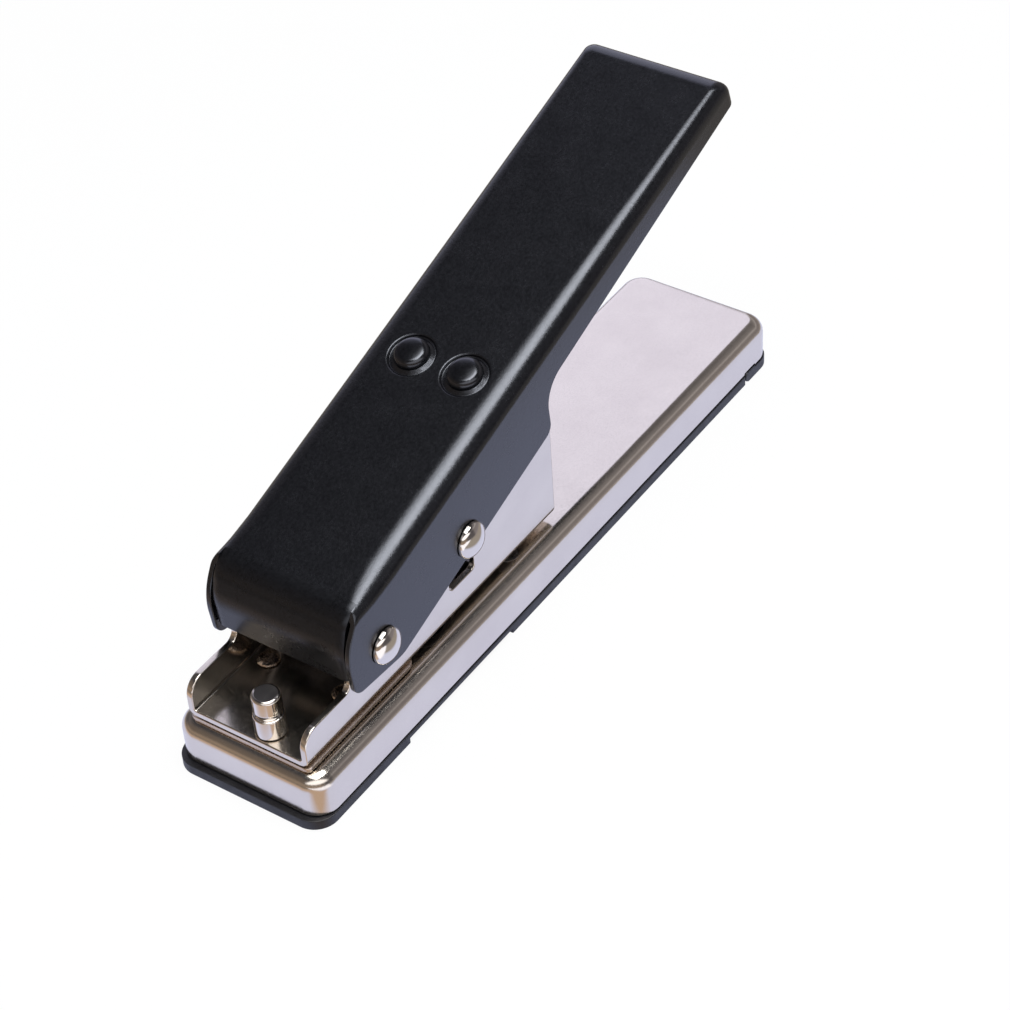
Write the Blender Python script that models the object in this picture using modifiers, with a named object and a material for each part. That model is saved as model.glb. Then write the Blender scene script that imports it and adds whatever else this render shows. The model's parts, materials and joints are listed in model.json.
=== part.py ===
"""Guitar pick punch: a lever press that cuts a pick from a plastic card.

Metres, +Z up. +X runs along the base from the pivot end to the free end of
the handle, and the origin is at the centre of the base, on the table.
The handle is drawn sprung open, as it stands when nobody presses it.
"""

import math

import bmesh
import bpy
from mathutils import Matrix, Vector

# Clearances and cutters
SEAT_GAP = 0.0003
HOLE_GAP = 0.0003
OVERRUN = 0.004
WELD = 0.00001
ARC_STEP_DEG = 15.0
TURN_STEPS = 24
RIVET_STEPS = 14

# Base housing, a drawn sheet tray turned upside down
BASE_LENGTH = 0.172
BASE_WIDTH = 0.037
BASE_HEIGHT = 0.0094
BASE_SHEET = 0.0010
BASE_CORNER_RADIUS = 0.0052
BASE_TOP_RADIUS = 0.0032
BASE_CORNER_SEGMENTS = 6
BASE_TOP_SEGMENTS = 5

# Plastic tray that closes the base and catches the picks
RIM_HEIGHT = 0.0023
RIM_LIP = 0.00025
PULL_LIP = 0.0013
TRAY_FLOOR = 0.0012
TRAY_WALL = 0.0012
TRAY_WALL_RISE = 0.0032
RECESS_SETBACK = 0.0283
RECESS_LENGTH = 0.0365
RECESS_HEIGHT = 0.0011
RECESS_DEPTH = 0.0030

# Hinge between the tray and the fixed foot at the far end
HINGE_SETBACK = 0.0099
HINGE_RADIUS = 0.0016
HINGE_PIN_RADIUS = 0.0006
EAR_WIDTH = 0.0025
EAR_HEIGHT = 0.0031
EAR_ROUND = 0.0012
EAR_REACH = 0.0018

# Pivot, drive pin and the slope at which the handle stands open
PIVOT_SETBACK = 0.0254
PIVOT_HEIGHT = 0.01375
ARM_LENGTH = 0.0295
ARM_ANGLE_DEG = 9.33
HANDLE_SLOPE_DEG = 17.0
PIN_RADIUS = 0.0021
PIN_HEAD_RADIUS = 0.0041
PIN_HEAD_BAND = 0.0010
PIN_HEAD_DOME = 0.0013

# Cutting die and the pick that it cuts
PICK_LENGTH = 0.0305
PICK_WIDTH = 0.0256
PICK_TIP_RADIUS = 0.0026
PICK_SHOULDER_RADIUS = 0.0072
PICK_TOP_RADIUS = 0.0260
PICK_SIDE_RADIUS = 0.0380
CUT_CLEARANCE = 0.00015
DIE_LAND = 0.00725
DIE_THICKNESS = 0.0035
DIE_CORNER_RADIUS = 0.0020
DIE_RIVET_INSET_X = 0.0032
DIE_RIVET_INSET_Y = 0.0035

# Card throat and the plate that sets its height
THROAT = 0.0017
CARD_STOP = 0.0015
SPACER_NEAR_RADIUS = 0.0013
SPACER_FAR_RADIUS = 0.0030

# Bracket that carries the pivot and guides the punch, in heights above its underside
PUNCH_SIDE_GAP = 0.0004
BRACKET_SHEET = 0.0015
BRACKET_BEND = 0.0020
BRACKET_SETBACK = 0.0020
BRACKET_OVERHANG = 0.0050
RAIL_HEIGHT = 0.0085
RAIL_CORNER_RADIUS = 0.0038
RAIL_FILLET = 0.0020
EAR_RADIUS = 0.0086
WALL_HEIGHT = 0.0258
WALL_CORNER_RADIUS = 0.0040
SLOT_WIDTH = 0.0088
SLOT_SILL = 0.0075
SLOT_CORNER_RADIUS = 0.0012
BRACKET_RIVET_SETBACK = 0.0188
BRACKET_RIVET_INSET = 0.0039

# Guide blocks inside the bracket, one behind the pick and one round its tip
GUIDE_HEIGHT = 0.0055
REAR_GUIDE_LAND = 0.0057
REAR_GUIDE_GRIP = 0.0065
FRONT_GUIDE_GRIP = 0.0100
FRONT_GUIDE_LAND = 0.0130
GUIDE_RIVET_INSET = 0.0052

# Punch, which rests just above the throat
PUNCH_LIFT = 0.0005
PUNCH_HEIGHT = 0.0247
PUNCH_HOLLOW = 0.0010
PUNCH_EDGE = 0.0006

# Grooved post at the pivot end, set to one side
POST_SETBACK = 0.0037
POST_Y = -0.0031
POST_HEIGHT = 0.0093
POST_FOOT_RADIUS = 0.00325
POST_NECK_RADIUS = 0.00255
POST_HEAD_RADIUS = 0.0030
POST_FOOT_HEIGHT = 0.0046
POST_NECK_HEIGHT = 0.0009
POST_EDGE = 0.0005
POST_TAIL_RADIUS = 0.0020

# Rivets
RIVET_RADIUS = 0.00125
RIVET_HEAD_RADIUS = 0.0024
RIVET_HEAD_HEIGHT = 0.0008
SMALL_RIVET_HEAD_RADIUS = 0.0022

# Handle shell, in its own frame: origin on the pivot, X along the handle
HANDLE_END = 0.1407
HANDLE_TOP = 0.01494
HANDLE_SHEET = 0.0012
HANDLE_FLARE = 0.0002
HANDLE_EDGE_RADIUS = 0.0036
HANDLE_FRONT_EDGE_RADIUS = 0.0022
HANDLE_EDGE_GROWTH = 0.045
HANDLE_CORNER_RADIUS = 0.0023
HANDLE_TOP_CORNER_RADIUS = 0.0010
HANDLE_EDGE_SEGMENTS = 5
HANDLE_CORNER_SEGMENTS = 7
DRIVE_UP = ARM_LENGTH * math.sin(math.radians(ARM_ANGLE_DEG - HANDLE_SLOPE_DEG))
CHIN_DROP = 0.00436
LOBE_DROP = 0.00276
# Outline of the side flanges: along, up, corner radius. Chin and lobe hang below the drive pin
FLANGE_FRONT_TOP = (-0.0024, HANDLE_TOP, 0.0010)
FLANGE_BROW = (-0.0093, 0.0086, 0.0140)
FLANGE_NOSE = (-0.0113, -0.0026, 0.0030)
FLANGE_CHIN = (0.0030, DRIVE_UP - CHIN_DROP, 0.0080)
FLANGE_LOBE = (0.0600, DRIVE_UP - LOBE_DROP, 0.0028)
FLANGE_SHOULDER = (0.0622, 0.0043, 0.0070)
FLANGE_TAIL_UP = 0.0082

# Curved apron that closes the front of the handle: along, up, corner radius
APRON_SIDE_GAP = 0.0004
APRON_INSET = 0.0002
APRON_OVERLAP = 0.0060
APRON_BEND = (-0.0046, HANDLE_TOP - APRON_INSET, 0.0070)
APRON_BROW = (-0.0090, 0.0080, 0.0120)
APRON_FOOT = (-0.0104, 0.0006)

# Lever channel riveted inside the handle
LEVER_SHEET = 0.0010
LEVER_SIDE_GAP = 0.0003
LEVER_END = 0.0620
LEVER_INSET = 0.0011
LEVER_SETBACK = 0.0031
HANDLE_RIVET_ALONG = 0.0531
HANDLE_RIVET_SPACING = 0.0129
HANDLE_RIVET_RADIUS = 0.0020
HANDLE_RIVET_HEAD_RADIUS = 0.0044
HANDLE_RIVET_DOME = 0.0020
DIMPLE_RADIUS = 0.0054
DIMPLE_DEPTH = 0.0006

# Return spring and the sleeve that it winds on
SLEEVE_WALL = 0.0012
SPRING_WIRE = 0.0012
SPRING_COIL_GAP = 0.00045
SPRING_TURNS = 4
SPRING_POINTS_PER_TURN = 10
SPRING_BORE_GAP = 0.0004
SPRING_LEG_SETBACK = 0.00225
SPRING_LOOP_ALONG = 0.0135
SPRING_MIDDLE_Y = 0.0036

# Heights that follow from the sizes above
BASE_BOTTOM = RIM_HEIGHT + SEAT_GAP
BASE_TOP = BASE_BOTTOM + BASE_HEIGHT
HOUSING_CEILING = BASE_TOP - BASE_SHEET
TRAY_WALL_TOP = RIM_HEIGHT + TRAY_WALL_RISE
DIE_TOP = HOUSING_CEILING - SEAT_GAP
DIE_BOTTOM = DIE_TOP - DIE_THICKNESS
BRACKET_BOTTOM = BASE_TOP + THROAT
BRACKET_FLOOR = BRACKET_BOTTOM + BRACKET_SHEET
RAIL_TOP = BRACKET_BOTTOM + RAIL_HEIGHT
WALL_TOP = BRACKET_BOTTOM + WALL_HEIGHT
SLOT_BOTTOM = BRACKET_BOTTOM + SLOT_SILL
GUIDE_BOTTOM = BRACKET_FLOOR + SEAT_GAP
GUIDE_TOP = GUIDE_BOTTOM + GUIDE_HEIGHT
PIVOT_Z = BRACKET_FLOOR + PIVOT_HEIGHT
PUNCH_REST_BOTTOM = BRACKET_BOTTOM + PUNCH_LIFT
PUNCH_TOP = PUNCH_REST_BOTTOM + PUNCH_HEIGHT
LEVER_TOP = HANDLE_TOP - HANDLE_SHEET - APRON_INSET - SEAT_GAP
LEVER_BEND = HANDLE_EDGE_RADIUS - HANDLE_SHEET

# Angles and the places of the drive pin and the punch
SLOPE = math.radians(HANDLE_SLOPE_DEG)
ARM_ANGLE = math.radians(ARM_ANGLE_DEG)
NEAR_END = -BASE_LENGTH / 2
FAR_END = BASE_LENGTH / 2
PIVOT_X = NEAR_END + PIVOT_SETBACK
DRIVE_X = PIVOT_X + ARM_LENGTH * math.cos(ARM_ANGLE)
DRIVE_Z = PIVOT_Z + ARM_LENGTH * math.sin(ARM_ANGLE)
DRIVE_DRIFT = ARM_LENGTH * (1 - math.cos(ARM_ANGLE))
PUNCH_X = DRIVE_X + DRIVE_DRIFT / 2

# Places along the base
PICK_START = PUNCH_X - PICK_LENGTH / 2
PICK_END = PUNCH_X + PICK_LENGTH / 2
DIE_START = PICK_START - DIE_LAND
DIE_END = PICK_END + DIE_LAND
REAR_GUIDE_START = PICK_START - REAR_GUIDE_LAND
REAR_GUIDE_END = PICK_START + REAR_GUIDE_GRIP
FRONT_GUIDE_START = PICK_END - FRONT_GUIDE_GRIP
FRONT_GUIDE_END = PICK_END + FRONT_GUIDE_LAND
BRACKET_START = NEAR_END + BRACKET_SETBACK
BRACKET_END = FRONT_GUIDE_END + BRACKET_OVERHANG
SPACER_END = PICK_START - CARD_STOP
POST_X = BRACKET_START + POST_SETBACK
TRAY_START = NEAR_END - PULL_LIP
TRAY_WALL_START = NEAR_END + BASE_SHEET + SEAT_GAP
RECESS_START = NEAR_END + RECESS_SETBACK
RECESS_END = RECESS_START + RECESS_LENGTH
HINGE_X = FAR_END - HINGE_SETBACK
EAR_START = HINGE_X - EAR_REACH
FOOT_START = HINGE_X + HINGE_RADIUS + SEAT_GAP
EAR_END = FOOT_START + SEAT_GAP
FOOT_END = FAR_END + RIM_LIP

# Widths, from the pick outward
BRACKET_INNER_Y = PICK_WIDTH / 2 + PUNCH_SIDE_GAP
BRACKET_OUTER_Y = BRACKET_INNER_Y + BRACKET_SHEET
LEVER_OUTER_Y = BRACKET_OUTER_Y + SEAT_GAP + LEVER_SHEET
FLANGE_INNER_Y = LEVER_OUTER_Y + LEVER_SIDE_GAP
FLANGE_OUTER_Y = FLANGE_INNER_Y + HANDLE_SHEET
HANDLE_TAPER = HANDLE_FLARE / 2 / HANDLE_END
DIE_HALF_Y = BASE_WIDTH / 2 - BASE_TOP_RADIUS
LIP_Y = BASE_WIDTH / 2 + RIM_LIP
TRAY_WALL_Y = BASE_WIDTH / 2 - BASE_SHEET - SEAT_GAP
EAR_INNER_Y = BASE_WIDTH / 2 - EAR_WIDTH
HANDLE_REACH_Y = FLANGE_OUTER_Y + HANDLE_FLARE / 2 + OVERRUN
PIN_HOLE_RADIUS = PIN_RADIUS + HOLE_GAP
RIVET_HOLE_RADIUS = RIVET_RADIUS + HOLE_GAP


def start_scene():
    """Empties the scene and makes the two collections."""
    for old in list(bpy.data.objects):
        bpy.data.objects.remove(old, do_unlink=True)
    made = []
    for name in ("guitar_pick_punch", "cutters"):
        collection = bpy.data.collections.new(name)
        bpy.context.scene.collection.children.link(collection)
        made.append(collection)
    return made


PARTS, CUTTERS = start_scene()


def make_material(name, colour, roughness, metallic):
    material = bpy.data.materials.new(name)
    material.use_nodes = True
    shader = material.node_tree.nodes["Principled BSDF"]
    shader.inputs["Base Color"].default_value = (*colour, 1.0)
    shader.inputs["Roughness"].default_value = roughness
    shader.inputs["Metallic"].default_value = metallic
    return material


def place(obj, parent=None, material=None, collection=None):
    """Puts an object in its collection, under its axis, with its material."""
    for old in list(obj.users_collection):
        old.objects.unlink(obj)
    (collection or PARTS).objects.link(obj)
    if parent is not None:
        obj.parent = parent
    if material is not None:
        obj.data.materials.clear()
        obj.data.materials.append(material)
    return obj


def as_cutter(obj, parent=None):
    obj.hide_render = True
    obj.display_type = "WIRE"
    return place(obj, parent, collection=CUTTERS)


def boolean(obj, cutter, operation="DIFFERENCE"):
    modifier = obj.modifiers.new(cutter.name, "BOOLEAN")
    modifier.operation = operation
    modifier.solver = "EXACT"
    modifier.object = cutter


def axis_empty(name, position, rotation=(0, 0, 0)):
    empty = bpy.data.objects.new(name, None)
    empty.location = position
    empty.rotation_euler = rotation
    PARTS.objects.link(empty)
    return empty


def smooth(mesh, angle_deg=35):
    mesh.shade_smooth()
    mesh.set_sharp_from_angle(angle=math.radians(angle_deg))


def curve_to_mesh(curve_object, name):
    """Turns a curve object into a mesh object with its caps welded."""
    bpy.context.view_layer.update()
    graph = bpy.context.evaluated_depsgraph_get()
    mesh = bpy.data.meshes.new_from_object(curve_object.evaluated_get(graph))
    work = bmesh.new()
    work.from_mesh(mesh)
    bmesh.ops.remove_doubles(work, verts=work.verts, dist=WELD)
    bmesh.ops.recalc_face_normals(work, faces=work.faces)
    work.to_mesh(mesh)
    work.free()
    made = bpy.data.objects.new(name, mesh)
    made.matrix_world = curve_object.matrix_world
    curve = curve_object.data
    bpy.data.objects.remove(curve_object, do_unlink=True)
    bpy.data.curves.remove(curve)
    return made


def add_spline(curve, points, cyclic=True):
    spline = curve.splines.new("POLY")
    spline.points.add(len(points) - 1)
    for target, point in zip(spline.points, points):
        target.co = (*point, 0, 1) if len(point) == 2 else (*point, 1)
    spline.use_cyclic_u = cyclic


def sheet_outline(name, outlines, low, high):
    """A flat plate from outlines in X and Y; those after the first are holes."""
    curve = bpy.data.curves.new(name, "CURVE")
    curve.dimensions = "2D"
    curve.fill_mode = "BOTH"
    curve.extrude = (high - low) / 2
    for outline in outlines:
        add_spline(curve, outline)
    plate = bpy.data.objects.new(name + "_outline", curve)
    bpy.context.scene.collection.objects.link(plate)
    made = curve_to_mesh(plate, name)
    made.data.transform(Matrix.Translation((0, 0, (low + high) / 2)))
    return made


def side_prism(name, outline, half_width):
    """A prism from an outline in X and Z that reaches half_width to each side."""
    made = sheet_outline(name, [outline], -half_width, half_width)
    made.data.transform(Matrix.Rotation(math.radians(90), 4, "X"))
    return made


def arc(centre, radius, start, end, step_deg=ARC_STEP_DEG):
    count = max(2, math.ceil(abs(end - start) / math.radians(step_deg)))
    angles = [start + (end - start) * i / count for i in range(count + 1)]
    return [(centre[0] + radius * math.cos(a), centre[1] + radius * math.sin(a)) for a in angles]


def circle(x, y, radius, step_deg=ARC_STEP_DEG):
    return arc((x, y), radius, 0, 2 * math.pi, step_deg)[:-1]


def corner_arc(before, corner, after, radius):
    """The arc of this radius that rounds a corner between its two neighbours."""
    point = Vector(corner)
    to_before = (Vector(before) - point).normalized()
    to_after = (Vector(after) - point).normalized()
    half = to_before.angle(to_after) / 2
    reach = radius / math.tan(half)
    centre = point + (to_before + to_after).normalized() * radius / math.sin(half)
    first = point + to_before * reach - centre
    last = point + to_after * reach - centre
    start = math.atan2(first.y, first.x)
    turn = math.atan2(first.x * last.y - first.y * last.x, first.dot(last))
    return arc(centre, radius, start, start + turn)


def rounded(corners, closed=True):
    """Points of a path whose corners, given as (x, y, radius), are rounded."""
    points = []
    count = len(corners)
    for i, (x, y, radius) in enumerate(corners):
        is_end = not closed and i in (0, count - 1)
        if radius == 0 or is_end:
            points.append((x, y))
            continue
        before = corners[i - 1][:2]
        after = corners[(i + 1) % count][:2]
        points += corner_arc(before, (x, y), after, radius)
    return points


def rectangle(x0, x1, y0, y1, radii):
    """A rectangle with a radius for each corner, from (x0, y0) round to (x0, y1)."""
    places = ((x0, y0), (x1, y0), (x1, y1), (x0, y1))
    return rounded([(*place_at, radius) for place_at, radius in zip(places, radii)])


def thickened(path, sheet):
    """The closed outline of a sheet whose outer face follows an open path."""
    inner = []
    for i, point in enumerate(path):
        before = Vector(path[max(i - 1, 0)])
        after = Vector(path[min(i + 1, len(path) - 1)])
        along = (after - before).normalized()
        inner.append(tuple(Vector(point) + Vector((-along.y, along.x)) * sheet))
    return path + inner[::-1]


def turned(name, profile, position=(0, 0, 0), lie_along_y=False, steps=TURN_STEPS):
    """A turned piece from (radius, height) points, given from the top down."""
    mesh = bpy.data.meshes.new(name)
    mesh.from_pydata([(r, 0, z) for r, z in profile], [(i, i + 1) for i in range(len(profile) - 1)], [])
    made = bpy.data.objects.new(name, mesh)
    made.location = position
    if lie_along_y:
        made.rotation_euler = (math.radians(90), 0, 0)
    screw = made.modifiers.new("turn", "SCREW")
    screw.steps = steps
    screw.render_steps = steps
    screw.use_merge_vertices = True
    screw.merge_threshold = WELD
    screw.use_smooth_shade = True
    return made


def rod_cutter(name, radius, position, half_length, parent=None, along_y=False, steps=RIVET_STEPS):
    """A straight round cutter centred on a position."""
    profile = [(0, half_length), (radius, half_length), (radius, -half_length), (0, -half_length)]
    return as_cutter(turned(name, profile, position, along_y, steps), parent)


def dome(radius, base, height, steps=4):
    """Profile of a low dome from its crown down to its rim."""
    angles = [math.radians(90) * i / steps for i in range(steps + 1)]
    return [(radius * math.sin(a), base + height * math.cos(a)) for a in angles]


def pick_outline(grow, centre_x):
    """A guitar pick of four large arcs and three round corners, tip toward +X.

    The small arcs lie inside the large ones and touch them, so growing the
    pick by a clearance only adds that clearance to each radius.
    """
    tip = Vector((PICK_LENGTH / 2 - PICK_TIP_RADIUS, 0))
    shoulder_y = PICK_WIDTH / 2 - PICK_SHOULDER_RADIUS
    top_centre = Vector((PICK_TOP_RADIUS - PICK_LENGTH / 2, 0))
    reach = PICK_TOP_RADIUS - PICK_SHOULDER_RADIUS
    shoulder = Vector((top_centre.x - math.sqrt(reach ** 2 - shoulder_y ** 2), shoulder_y))
    from_tip = PICK_SIDE_RADIUS - PICK_TIP_RADIUS
    from_shoulder = PICK_SIDE_RADIUS - PICK_SHOULDER_RADIUS
    span = shoulder - tip
    along = (from_tip ** 2 - from_shoulder ** 2 + span.length_squared) / (2 * span.length)
    across = math.sqrt(from_tip ** 2 - along ** 2)
    unit = span.normalized()
    side_centre = tip + unit * along + Vector((-unit.y, unit.x)) * across
    at_tip = math.atan2(tip.y - side_centre.y, tip.x - side_centre.x)
    at_shoulder = math.atan2(shoulder.y - side_centre.y, shoulder.x - side_centre.x)
    at_top = math.atan2(shoulder_y, shoulder.x - top_centre.x)
    half = arc(tip, PICK_TIP_RADIUS + grow, 0, at_tip)
    half += arc(side_centre, PICK_SIDE_RADIUS + grow, at_tip, at_shoulder, ARC_STEP_DEG / 3)[1:]
    half += arc(shoulder, PICK_SHOULDER_RADIUS + grow, at_shoulder, at_top)[1:]
    half += arc(top_centre, PICK_TOP_RADIUS + grow, at_top, math.pi, ARC_STEP_DEG / 3)[1:]
    mirrored = [(x, -y) for x, y in half[-2:0:-1]]
    return [(centre_x + x, y) for x, y in half + mirrored]


def open_box(name, x0, x1, half_y0, half_y1, z0, z1, corner, corner_segments, edge, edge_segments,
             corner_ends=(-1, 1)):
    """A box open below, with rounded upright corners and rounded top edges."""
    work = bmesh.new()
    bmesh.ops.create_cube(work, size=1)
    for vertex in work.verts:
        at_end = vertex.co.x > 0
        half_y = half_y1 if at_end else half_y0
        vertex.co.y = math.copysign(half_y, vertex.co.y)
        vertex.co.x = x1 if at_end else x0
        vertex.co.z = z1 if vertex.co.z > 0 else z0
    middle_x = (x0 + x1) / 2
    upright = []
    for edge_item in work.edges:
        a, b = (v.co for v in edge_item.verts)
        end = 1 if a.x > middle_x else -1
        if abs(a.z - b.z) > WELD and end in corner_ends:
            upright.append(edge_item)
    bmesh.ops.bevel(work, geom=upright, offset=corner, segments=corner_segments, affect="EDGES", profile=0.5)
    rim = [e for e in work.edges if all(abs(v.co.z - z1) < WELD for v in e.verts)]
    bmesh.ops.bevel(work, geom=rim, offset=edge, segments=edge_segments, affect="EDGES", profile=0.5)
    bottom = [f for f in work.faces if all(abs(v.co.z - z0) < WELD for v in f.verts)]
    bmesh.ops.delete(work, geom=bottom, context="FACES")
    bmesh.ops.recalc_face_normals(work, faces=work.faces)
    mesh = bpy.data.meshes.new(name)
    work.to_mesh(mesh)
    work.free()
    return bpy.data.objects.new(name, mesh)


def solidify(obj, sheet, offset):
    modifier = obj.modifiers.new("sheet", "SOLIDIFY")
    modifier.thickness = sheet
    modifier.offset = offset
    modifier.use_even_offset = True
    modifier.use_rim = True


def channel(name, path, x0, x1, sheet):
    """A bent sheet: a path across (y, z), on the middle of the sheet, drawn along X."""
    curve = bpy.data.curves.new(name, "CURVE")
    curve.dimensions = "2D"
    curve.fill_mode = "NONE"
    curve.extrude = (x1 - x0) / 2
    add_spline(curve, path, cyclic=False)
    bent = bpy.data.objects.new(name + "_path", curve)
    bpy.context.scene.collection.objects.link(bent)
    made = curve_to_mesh(bent, name)
    turn = Matrix(((0, 0, 1, (x0 + x1) / 2), (1, 0, 0, 0), (0, 1, 0, 0), (0, 0, 0, 1)))
    made.data.transform(turn)
    solidify(made, sheet, 0)
    return made


def rivet_profile(top, bottom, shank, head, head_height, tail, tail_height, head_is_flush=False):
    """Profile of a rivet: head above top, or sunk flush with it, and tail below bottom."""
    if head_is_flush:
        upper = [(0, top), (head, top), (shank, top - (head - shank))]
    else:
        upper = dome(head, top + SEAT_GAP, head_height) + [(shank, top + SEAT_GAP)]
    tail_top = bottom - SEAT_GAP
    lower = [(shank, tail_top), (tail, tail_top), (tail, tail_top - tail_height), (0, tail_top - tail_height)]
    return upper + lower


def pin_profile(half_span):
    """Profile of a pin with a domed head at each end of its span."""
    seat = half_span + SEAT_GAP
    upper = dome(PIN_HEAD_RADIUS, seat + PIN_HEAD_BAND, PIN_HEAD_DOME)
    upper += [(PIN_HEAD_RADIUS, seat), (PIN_RADIUS, seat)]
    return upper + [(r, -z) for r, z in reversed(upper)]


# Materials
NICKEL = make_material("nickel", (0.60, 0.59, 0.62), 0.18, 1.0)
STEEL = make_material("steel", (0.42, 0.41, 0.41), 0.34, 1.0)
SPRING_STEEL = make_material("spring_steel", (0.30, 0.30, 0.32), 0.30, 1.0)
WARM_PLATE = make_material("warm_plate", (0.46, 0.38, 0.30), 0.30, 1.0)
BLACK_PAINT = make_material("black_paint", (0.012, 0.012, 0.016), 0.36, 0.0)
BLACK_PLASTIC = make_material("black_plastic", (0.035, 0.036, 0.042), 0.45, 0.0)

# Axes
HANDLE_AXIS = axis_empty("handle_axis", (PIVOT_X, 0, PIVOT_Z), (0, -SLOPE, 0))
PUNCH_AXIS = axis_empty("punch_axis", (PUNCH_X, 0, PUNCH_REST_BOTTOM))
TRAY_AXIS = axis_empty("tray_axis", (HINGE_X, 0, HINGE_RADIUS))

# Rivet places, each as a row across the base


def rivet_rows(rows, y):
    return [(x, side * y) for x in rows for side in (-1, 1)]


DIE_RIVET_PLACES = rivet_rows(
    (DIE_START + DIE_RIVET_INSET_X, DIE_END - DIE_RIVET_INSET_X), DIE_HALF_Y - DIE_RIVET_INSET_Y)
BRACKET_RIVET_PLACES = rivet_rows(
    (BRACKET_START + BRACKET_RIVET_SETBACK,), BRACKET_INNER_Y - BRACKET_RIVET_INSET)
HANDLE_RIVET_PLACES = rivet_rows((HANDLE_RIVET_ALONG,), HANDLE_RIVET_SPACING / 2)
GUIDE_RIVET_PLACES = rivet_rows(
    (PICK_START - REAR_GUIDE_LAND / 2, PICK_END + FRONT_GUIDE_LAND / 2), BRACKET_INNER_Y - GUIDE_RIVET_INSET)


def build_base_housing():
    half_y = BASE_WIDTH / 2
    housing = open_box(
        "base_housing", NEAR_END, FAR_END, half_y, half_y, BASE_BOTTOM, BASE_TOP,
        BASE_CORNER_RADIUS, BASE_CORNER_SEGMENTS, BASE_TOP_RADIUS, BASE_TOP_SEGMENTS)
    place(housing, material=NICKEL)
    solidify(housing, BASE_SHEET, -1)
    hole = sheet_outline(
        "housing_pick_hole", [pick_outline(HOLE_GAP + CUT_CLEARANCE, PUNCH_X)],
        HOUSING_CEILING - OVERRUN / 2, BASE_TOP + OVERRUN)
    boolean(housing, as_cutter(hole))
    head = SMALL_RIVET_HEAD_RADIUS + HOLE_GAP
    sink = [
        (0, BASE_TOP + OVERRUN), (head, BASE_TOP + OVERRUN), (head, BASE_TOP),
        (RIVET_HOLE_RADIUS, BASE_TOP - (head - RIVET_HOLE_RADIUS)),
        (RIVET_HOLE_RADIUS, HOUSING_CEILING - OVERRUN / 2), (0, HOUSING_CEILING - OVERRUN / 2),
    ]
    for i, (x, y) in enumerate(DIE_RIVET_PLACES, 1):
        boolean(housing, as_cutter(turned(f"housing_sink_{i}", sink, (x, y, 0), steps=RIVET_STEPS)))
    for i, (x, y) in enumerate(BRACKET_RIVET_PLACES, 1):
        hole = rod_cutter(f"housing_rivet_hole_{i}", RIVET_HOLE_RADIUS, (x, y, BASE_TOP), OVERRUN / 2)
        boolean(housing, hole)
    post_at = (POST_X, POST_Y, BASE_TOP)
    post_hole = rod_cutter("housing_post_hole", POST_TAIL_RADIUS + HOLE_GAP, post_at, OVERRUN / 2)
    boolean(housing, post_hole)
    notch_top = EAR_HEIGHT + SEAT_GAP
    notch = rectangle(
        EAR_START - SEAT_GAP, EAR_END + SEAT_GAP, -notch_top, notch_top, (0, 0, SEAT_GAP, SEAT_GAP))
    boolean(housing, as_cutter(side_prism("housing_notch", notch, half_y + OVERRUN)))
    smooth(housing.data)


def build_die():
    outlines = [rectangle(DIE_START, DIE_END, -DIE_HALF_Y, DIE_HALF_Y, [DIE_CORNER_RADIUS] * 4)]
    outlines.append(pick_outline(CUT_CLEARANCE, PUNCH_X))
    outlines += [circle(x, y, RIVET_HOLE_RADIUS) for x, y in DIE_RIVET_PLACES]
    place(sheet_outline("die_plate", outlines, DIE_BOTTOM, DIE_TOP), material=STEEL)
    profile = rivet_profile(
        BASE_TOP, DIE_BOTTOM, RIVET_RADIUS, SMALL_RIVET_HEAD_RADIUS, 0,
        RIVET_HEAD_RADIUS, RIVET_HEAD_HEIGHT, head_is_flush=True)
    for i, (x, y) in enumerate(DIE_RIVET_PLACES, 1):
        place(turned(f"die_rivet_{i}", profile, (x, y, 0), steps=RIVET_STEPS), material=NICKEL)


def build_spacer():
    near, far = SPACER_NEAR_RADIUS, SPACER_FAR_RADIUS
    outlines = [rectangle(
        BRACKET_START, SPACER_END, -BRACKET_OUTER_Y, BRACKET_OUTER_Y, (near, far, far, near))]
    outlines += [circle(x, y, RIVET_HOLE_RADIUS) for x, y in BRACKET_RIVET_PLACES]
    outlines.append(circle(POST_X, POST_Y, POST_TAIL_RADIUS + HOLE_GAP))
    spacer = sheet_outline("spacer_plate", outlines, BASE_TOP + SEAT_GAP, BRACKET_BOTTOM - SEAT_GAP)
    place(spacer, material=WARM_PLATE)


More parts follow.
